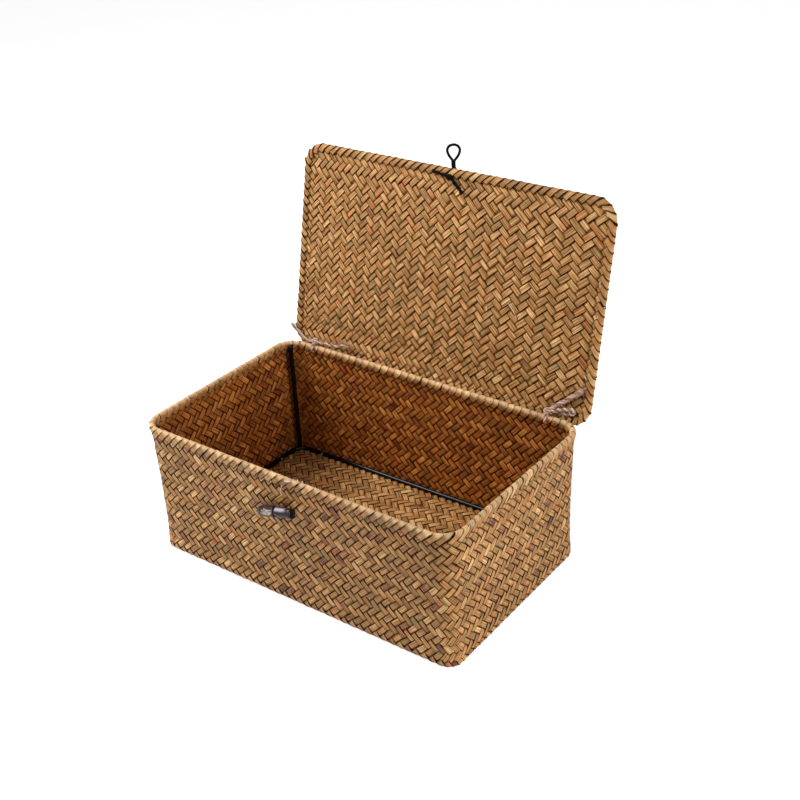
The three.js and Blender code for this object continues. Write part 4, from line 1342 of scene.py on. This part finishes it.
def knot_path(centre, radii):
    """A knotted line on an ellipsoid: it goes twice round while it winds three times through."""
    share = np.linspace(0, TURN, 120, endpoint=False)
    ring = 0.62 + 0.3 * np.cos(3 * share)
    return np.array(centre) + np.stack([
        radii[0] * ring * np.cos(2 * share), radii[1] * ring * np.sin(2 * share),
        radii[2] * 0.62 * np.sin(3 * share),
    ], -1)


class WOVENBOX_OT_ties(bpy.types.Operator):
    """Ties the lid on with two lengths of twine"""
    bl_idname = "wovenbox.ties"
    bl_label = "Tie the lid on"

    def execute(self, context):
        settings = context.scene.woven_box
        basket, lid, fit = settings.basket, settings.lid, settings.fittings
        material = finish(settings.colours, "jute_twine", twine_material)
        rng = np.random.default_rng(TWINE_SEED)
        loose = []
        for side, x in (("left", fit.tie_left), ("right", fit.tie_right)):
            turn = np.linspace(0, TURN, 96, endpoint=False)
            line = np.stack([
                x + LOOP_WAVE * np.sin(3 * turn), LOOP_RADIUS * np.cos(turn),
                LOOP_RADIUS * np.sin(turn) + np.where(np.sin(turn) > 0, lid.hinge_orbit, 0)], -1)
            line = even_path(np.vstack([line, line[:1]]), TWINE_SPACING)[:-1]
            loop = swing_open(line, lid, basket)
            tangle = swing_open(knot_path((x, *TIE_KNOT), TIE_KNOT_SIZE), lid, basket)
            parts = twisted(loop, fit.twine_radius, LOOP_TWISTS, 2, ACROSS, closed=True)
            parts.append(tube(tangle, fit.twine_radius * KNOT_STRAND_SHARE, 8, TANGLE_UP,
                              closed=True, tone=0.6))
            make_piece(f"tie_{side}", parts, material, "lid", [f"hinge_tie_{side}"])
            loose.append(hairs(tangle, fit.twine_radius * FIBRE_ROOT_SHARE, KNOT_FIBRES,
                               KNOT_REACH, rng, TANGLE_UP))
            loose.append(hairs(loop, fit.twine_radius, LOOP_FIBRES, LOOP_REACH, rng, ACROSS))
        reference = turn_open((0.1, 0.2, 1.0), lid)
        for node, (route, radius, plies, lay, fibres) in TAILS.items():
            path = swing_open(smooth_path(route, TWINE_SPACING), lid, basket)
            reach = path_length(path)
            made = make_piece(node + "_twine",
                              twisted(path, radius, reach / lay, plies, reference),
                              material, "lid", [node])
            loose.append(hairs(path, radius, fibres, END_REACH, rng, reference, END_FIBRE))
            loose.append(hairs(path[-TIP_RINGS:], radius * FIBRE_ROOT_SHARE, fibres // 3,
                               TIP_REACH, rng, reference, TIP_FIBRE, TIP_FORWARD))
        make_piece("twine_fuzz", loose, material, "lid")
        return {"FINISHED"}


def loop_line(fit, lid):
    """The elastic loop, closed lid: a teardrop whose width follows the sine of its angle times
    the sine of half that angle, twisted about its stem and leaned sideways."""
    turn = np.linspace(0, TURN, 60)
    size = fit.loop_length - fit.elastic_radius
    half_spacing = fit.strand_spacing / 2
    bulge = fit.loop_width / 2 - fit.elastic_radius - half_spacing / math.sqrt(3)
    along = size * (1 - np.cos(turn)) / 2
    side = bulge * np.sin(turn) * np.sin(turn / 2) * 3 * math.sqrt(3) / 4
    side = side + half_spacing * np.cos(turn / 2)
    twist = fit.loop_turn * np.sin(turn / 2)
    flat = np.stack([side * np.cos(twist), -along, side * np.sin(twist)], -1)
    cosine, sine = math.cos(fit.loop_lean), math.sin(fit.loop_lean)
    leaned = flat @ np.array([(cosine, -sine, 0), (sine, cosine, 0), (0, 0, 1)])
    return leaned + (fit.neck_x, -lid.lid_depth - fit.elastic_reach, lid.hinge_orbit)


class WOVENBOX_OT_elastic(bpy.types.Operator):
    """Knots the elastic to the lid's front edge, with its loop standing beyond it"""
    bl_idname = "wovenbox.elastic"
    bl_label = "Knot the elastic"

    def execute(self, context):
        settings = context.scene.woven_box
        basket, lid, fit = settings.basket, settings.lid, settings.fittings
        material = finish(settings.colours, "braided_elastic", elastic_material)
        neck_y = -lid.lid_depth - fit.elastic_reach
        knot_y = -lid.lid_depth + KNOT_INSET
        bend = np.radians(np.linspace(*BEND_DEGREES, 6))

        def strand(offset):
            x = fit.elastic_x + offset
            over = np.stack([np.full(6, x), -lid.lid_depth + BEND_RADIUS * np.cos(bend),
                             lid.hinge_orbit + BEND_RADIUS * np.sin(bend)], -1)
            return [(x, knot_y, KNOT_LEVEL), (x, knot_y, lid.hinge_orbit), *over,
                    (fit.neck_x + offset, neck_y + STEM_GAP, lid.hinge_orbit)]

        half = fit.strand_spacing / 2
        line = np.vstack([strand(half), loop_line(fit, lid)[::3], strand(-half)[::-1]])
        path = swing_open(smooth_path(line, ELASTIC_SPACING), lid, basket)
        reference = turn_open((0.25, 0.1, 1.0), lid)
        elastic = make_piece("elastic", [tube(path, fit.elastic_radius, 10, reference)], material,
                             None, ["elastic_anchor", "elastic_loop"])
        knot = swing_open(knot_path((fit.elastic_x, knot_y, KNOT_LEVEL), ELASTIC_KNOT_SIZE),
                          lid, basket)
        knob = make_piece("elastic_knot", [tube(knot, fit.elastic_radius * 0.9, 8, TANGLE_UP,
                                                closed=True)], material, "lid")
        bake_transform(elastic)
        for node, route in (("elastic_tail_side", ELASTIC_TAIL_SIDE),
                            ("elastic_tail_down", ELASTIC_TAIL_DOWN)):
            path = swing_open(smooth_path(route, ELASTIC_SPACING), lid, basket)
            plies = twisted(path, fit.elastic_radius * TAIL_SHARE, TAIL_TWISTS, 2, reference)
            make_piece(node + "_cord", plies, material, "lid", [node])
        return {"FINISHED"}


def toggle_middle(fit):
    return fit.toggle_x, fit.toggle_y, fit.toggle_z


def tilted(directions, fit):
    """Directions turned about the front's normal, so that the toggle's right end hangs."""
    cosine, sine = math.cos(fit.toggle_tilt), math.sin(fit.toggle_tilt)
    return directions @ np.array([(cosine, 0, sine), (0, 1, 0), (-sine, 0, cosine)])


def toggle_stick(fit):
    """The toggle: a round profile on a line that sags at its left end, with a groove and with
    small dents, which are sums of sines along and around. Its tone is the worn patch, its side
    the band of painted highlight, and its lift is 0 on the cut end."""
    share = np.linspace(-1, 1, TOGGLE_RINGS)
    around = np.arange(TOGGLE_SIDES) / TOGGLE_SIDES * TURN
    travel = share * fit.toggle_length / 2 - fit.toggle_groove
    groove = 1 - GROOVE_SHARE * np.exp(-(travel / GROOVE_WIDTH) ** 4)
    radius = np.interp(share, *TOGGLE_SHAPE_SHARES.T) * groove * fit.toggle_radius
    sag = SAG_RISE - SAG * np.clip(-share, 0, 1) ** 1.6
    line = np.stack([travel, np.zeros(TOGGLE_RINGS), sag], -1)
    dents = sum(depth * np.sin(turns * around + waves * travel[:, None] + phase)
                for depth, turns, waves, phase in TOGGLE_DENTS)
    part = sweep(np.zeros(TOGGLE_RINGS, int), tilted(line, fit) + toggle_middle(fit),
                 tilted(UP, fit), np.stack([radius, radius], -1),
                 round_section(TOGGLE_SIDES), swell=1 + DENT_SHARE * dents)
    share, around = np.repeat(share, TOGGLE_SIDES), np.tile(around, TOGGLE_RINGS)
    off_worn = np.mod(around - math.radians(WORN_TURN) + math.pi, TURN) - math.pi
    part["tone"] = np.exp(-((share - WORN_PLACE) / WORN_REACH) ** 2
                          - (off_worn / WORN_SPREAD) ** 2)
    # Painted highlight: a band round the right half of the toggle
    band = np.exp(-((around - math.radians(HIGHLIGHT_TURN)) / HIGHLIGHT_SPREAD) ** 4)
    ends = np.clip((share - 0.1) / 0.04, 0, 1) * np.clip((0.8 - share) / 0.2, 0, 1)
    part["side"] = band * ends * HIGHLIGHT_SHARE
    part["lift"] = np.clip((CUT_END_SHARE - share) / 0.01, 0, 1)
    return part


class WOVENBOX_OT_toggle(bpy.types.Operator):
    """Carves the toggle and ties it to the front wall"""
    bl_idname = "wovenbox.toggle"
    bl_label = "Carve the toggle"

    def execute(self, context):
        settings = context.scene.woven_box
        fit = settings.fittings
        horn = finish(settings.colours, "waxed_horn", toggle_material)
        make_piece("toggle_stick", [toggle_stick(fit)], horn, "toggle", ["toggle"])
        thread = finish(settings.colours, "braided_elastic", elastic_material)
        middle = toggle_middle(fit)
        turn = np.linspace(0, TURN * 2, 80)
        turns = np.stack([np.linspace(-CORD_TURN_WIDTH, CORD_TURN_WIDTH, 80),
                          CORD_TURN_RADIUS * np.cos(turn), CORD_TURN_RADIUS * np.sin(turn)], -1)
        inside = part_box("toggle_cord")[1][1]
        stem = np.linspace((fit.toggle_x, fit.toggle_y + STEM_START, fit.toggle_z),
                           (fit.toggle_x, inside - STEM_INSET, fit.toggle_z), 12)
        knot = knot_path((fit.toggle_x, inside - CORD_KNOT_INSET, fit.toggle_z), CORD_KNOT_SIZE)
        turn_radius, stem_radius, knot_radius = CORD_RADII
        parts = [tube(tilted(turns, fit) + middle, turn_radius, 8, tilted(ACROSS, fit)),
                 tube(stem, stem_radius, 8),
                 tube(knot, knot_radius, 8, TANGLE_UP, closed=True)]
        make_piece("toggle_thread", parts, thread, "toggle", ["toggle_cord"])
        return {"FINISHED"}


# ---------------------------------------------------------------- stage


def seen_by_camera(tree):
    """One for rays from the camera, also by way of gloss and glass, and nothing for others."""
    rays = add_node(tree, "ShaderNodeLightPath").outputs
    mirrored = math_node(tree, "MAXIMUM", rays["Is Glossy Ray"], rays["Is Transmission Ray"])
    return math_node(tree, "MAXIMUM", rays["Is Camera Ray"], mirrored)


def stage_floor(stage, colours):
    """A pale floor that is near white to the camera and keeps the shadow."""
    mesh = bpy.data.meshes.new("floor")
    corners = np.array([(-1, -1, 0), (1, -1, 0), (1, 1, 0), (-1, 1, 0)]) * stage.floor_size / 2
    mesh.from_pydata(corners.tolist(), [], [(0, 1, 2, 3)])
    made = bpy.data.objects.new("floor", mesh)
    bpy.context.scene.collection.objects.link(made)
    material, tree, shader = new_material("pale_floor", Roughness=0.9,
                                          Base_Color=(*colours.floor, 1))
    glow = add_node(tree, "ShaderNodeEmission", {
        "Color": (1, 1, 1, 1),
        "Strength": math_node(tree, "MULTIPLY", seen_by_camera(tree), FLOOR_GLOW)})
    both = add_node(tree, "ShaderNodeAddShader", {0: shader.outputs[0], 1: glow.outputs[0]})
    tree.links.new(both.outputs[0], tree.nodes["Material Output"].inputs["Surface"])
    mesh.materials.append(material)


def placed(name, data, right, above, back, place):
    """A new object whose axes and place are given."""
    made = bpy.data.objects.new(name, data)
    matrix = np.eye(4)
    matrix[:3] = np.stack([right, above, back, place], -1)
    made.matrix_world = Matrix(matrix.tolist())
    bpy.context.scene.collection.objects.link(made)
    return made


def area_lamp(name, place, aim, size, power):
    """A round lamp at a place, turned so that it looks at the aim."""
    data = bpy.data.lights.new(name, "AREA")
    data.shape = "DISK"
    data.size = size
    data.energy = power
    back = unit(np.array(place) - np.array(aim))
    right = unit(np.cross(UP, back))
    placed(name, data, right, np.cross(back, right), back, place)


def set_sky(scene, strength):
    """Even light from all round, which the camera sees as white."""
    world = scene.world or bpy.data.worlds.new("sky")
    scene.world = world
    world.use_nodes = True
    tree = world.node_tree
    tree.nodes.clear()
    sky, white = (add_node(tree, "ShaderNodeBackground",
                           {"Color": (1, 1, 1, 1), "Strength": level})
                  for level in (strength, 1.0))
    mixed = add_node(tree, "ShaderNodeMixShader", {
        0: seen_by_camera(tree), 1: sky.outputs[0], 2: white.outputs[0]})
    add_node(tree, "ShaderNodeOutputWorld", {"Surface": mixed.outputs[0]})


class WOVENBOX_OT_stage(bpy.types.Operator):
    """Sets the camera, the lamps, the sky and the floor"""
    bl_idname = "wovenbox.stage"
    bl_label = "Set the stage"

    def execute(self, context):
        scene = context.scene
        stage = scene.woven_box.stage
        cos_a, sin_a = math.cos(stage.azimuth), math.sin(stage.azimuth)
        cos_e, sin_e = math.cos(stage.elevation), math.sin(stage.elevation)
        cos_r, sin_r = math.cos(stage.roll), math.sin(stage.roll)
        back = np.array([sin_a * cos_e, -cos_a * cos_e, sin_e])
        right = np.array([cos_a, sin_a, 0])
        above = np.cross(back, right)
        lens = bpy.data.cameras.new("camera")
        lens.sensor_fit = "HORIZONTAL"
        lens.sensor_width = SENSOR_WIDTH
        lens.lens = stage.lens
        lens.clip_start = 0.01
        scene.camera = placed("camera", lens, right * cos_r + above * sin_r,
                              above * cos_r - right * sin_r, back,
                              np.array(stage.target) + back * stage.distance)
        for name, (place, aim, size) in LAMPS.items():
            area_lamp(name, place, aim, size, getattr(stage, f"{name}_power"))
        set_sky(scene, stage.sky_strength)
        scene.view_settings.view_transform = "Standard"
        stage_floor(stage, scene.woven_box.colours)
        return {"FINISHED"}


class WOVENBOX_PT_panel(bpy.types.Panel):
    bl_label = "Woven box"
    bl_idname = "WOVENBOX_PT_panel"
    bl_space_type = "VIEW_3D"
    bl_region_type = "UI"
    bl_category = "Woven box"

    def draw(self, context):
        for operator in OPERATORS:
            self.layout.operator(operator.bl_idname)


OPERATORS = (
    WOVENBOX_OT_stage, WOVENBOX_OT_ties, WOVENBOX_OT_elastic, WOVENBOX_OT_walls,
    WOVENBOX_OT_floor, WOVENBOX_OT_lid, WOVENBOX_OT_borders, WOVENBOX_OT_wires,
    WOVENBOX_OT_stitches, WOVENBOX_OT_toggle, WOVENBOX_OT_straws,
)
GROUPS = (
    BasketSizes, WeaveSizes, LidSizes, FittingSizes, FinishColours, StageSettings, BoxSettings,
)


def register():
    for item in (*GROUPS, *OPERATORS, WOVENBOX_PT_panel):
        bpy.utils.register_class(item)
    bpy.types.Scene.woven_box = PointerProperty(type=BoxSettings)


def unregister():
    del bpy.types.Scene.woven_box
    for item in reversed((*GROUPS, *OPERATORS, WOVENBOX_PT_panel)):
        bpy.utils.unregister_class(item)


def main():
    """Builds every piece in order."""
    register()
    for operator in OPERATORS:
        group, name = operator.bl_idname.split(".")
        getattr(getattr(bpy.ops, group), name)()


if __name__ == "__main__":
    main()
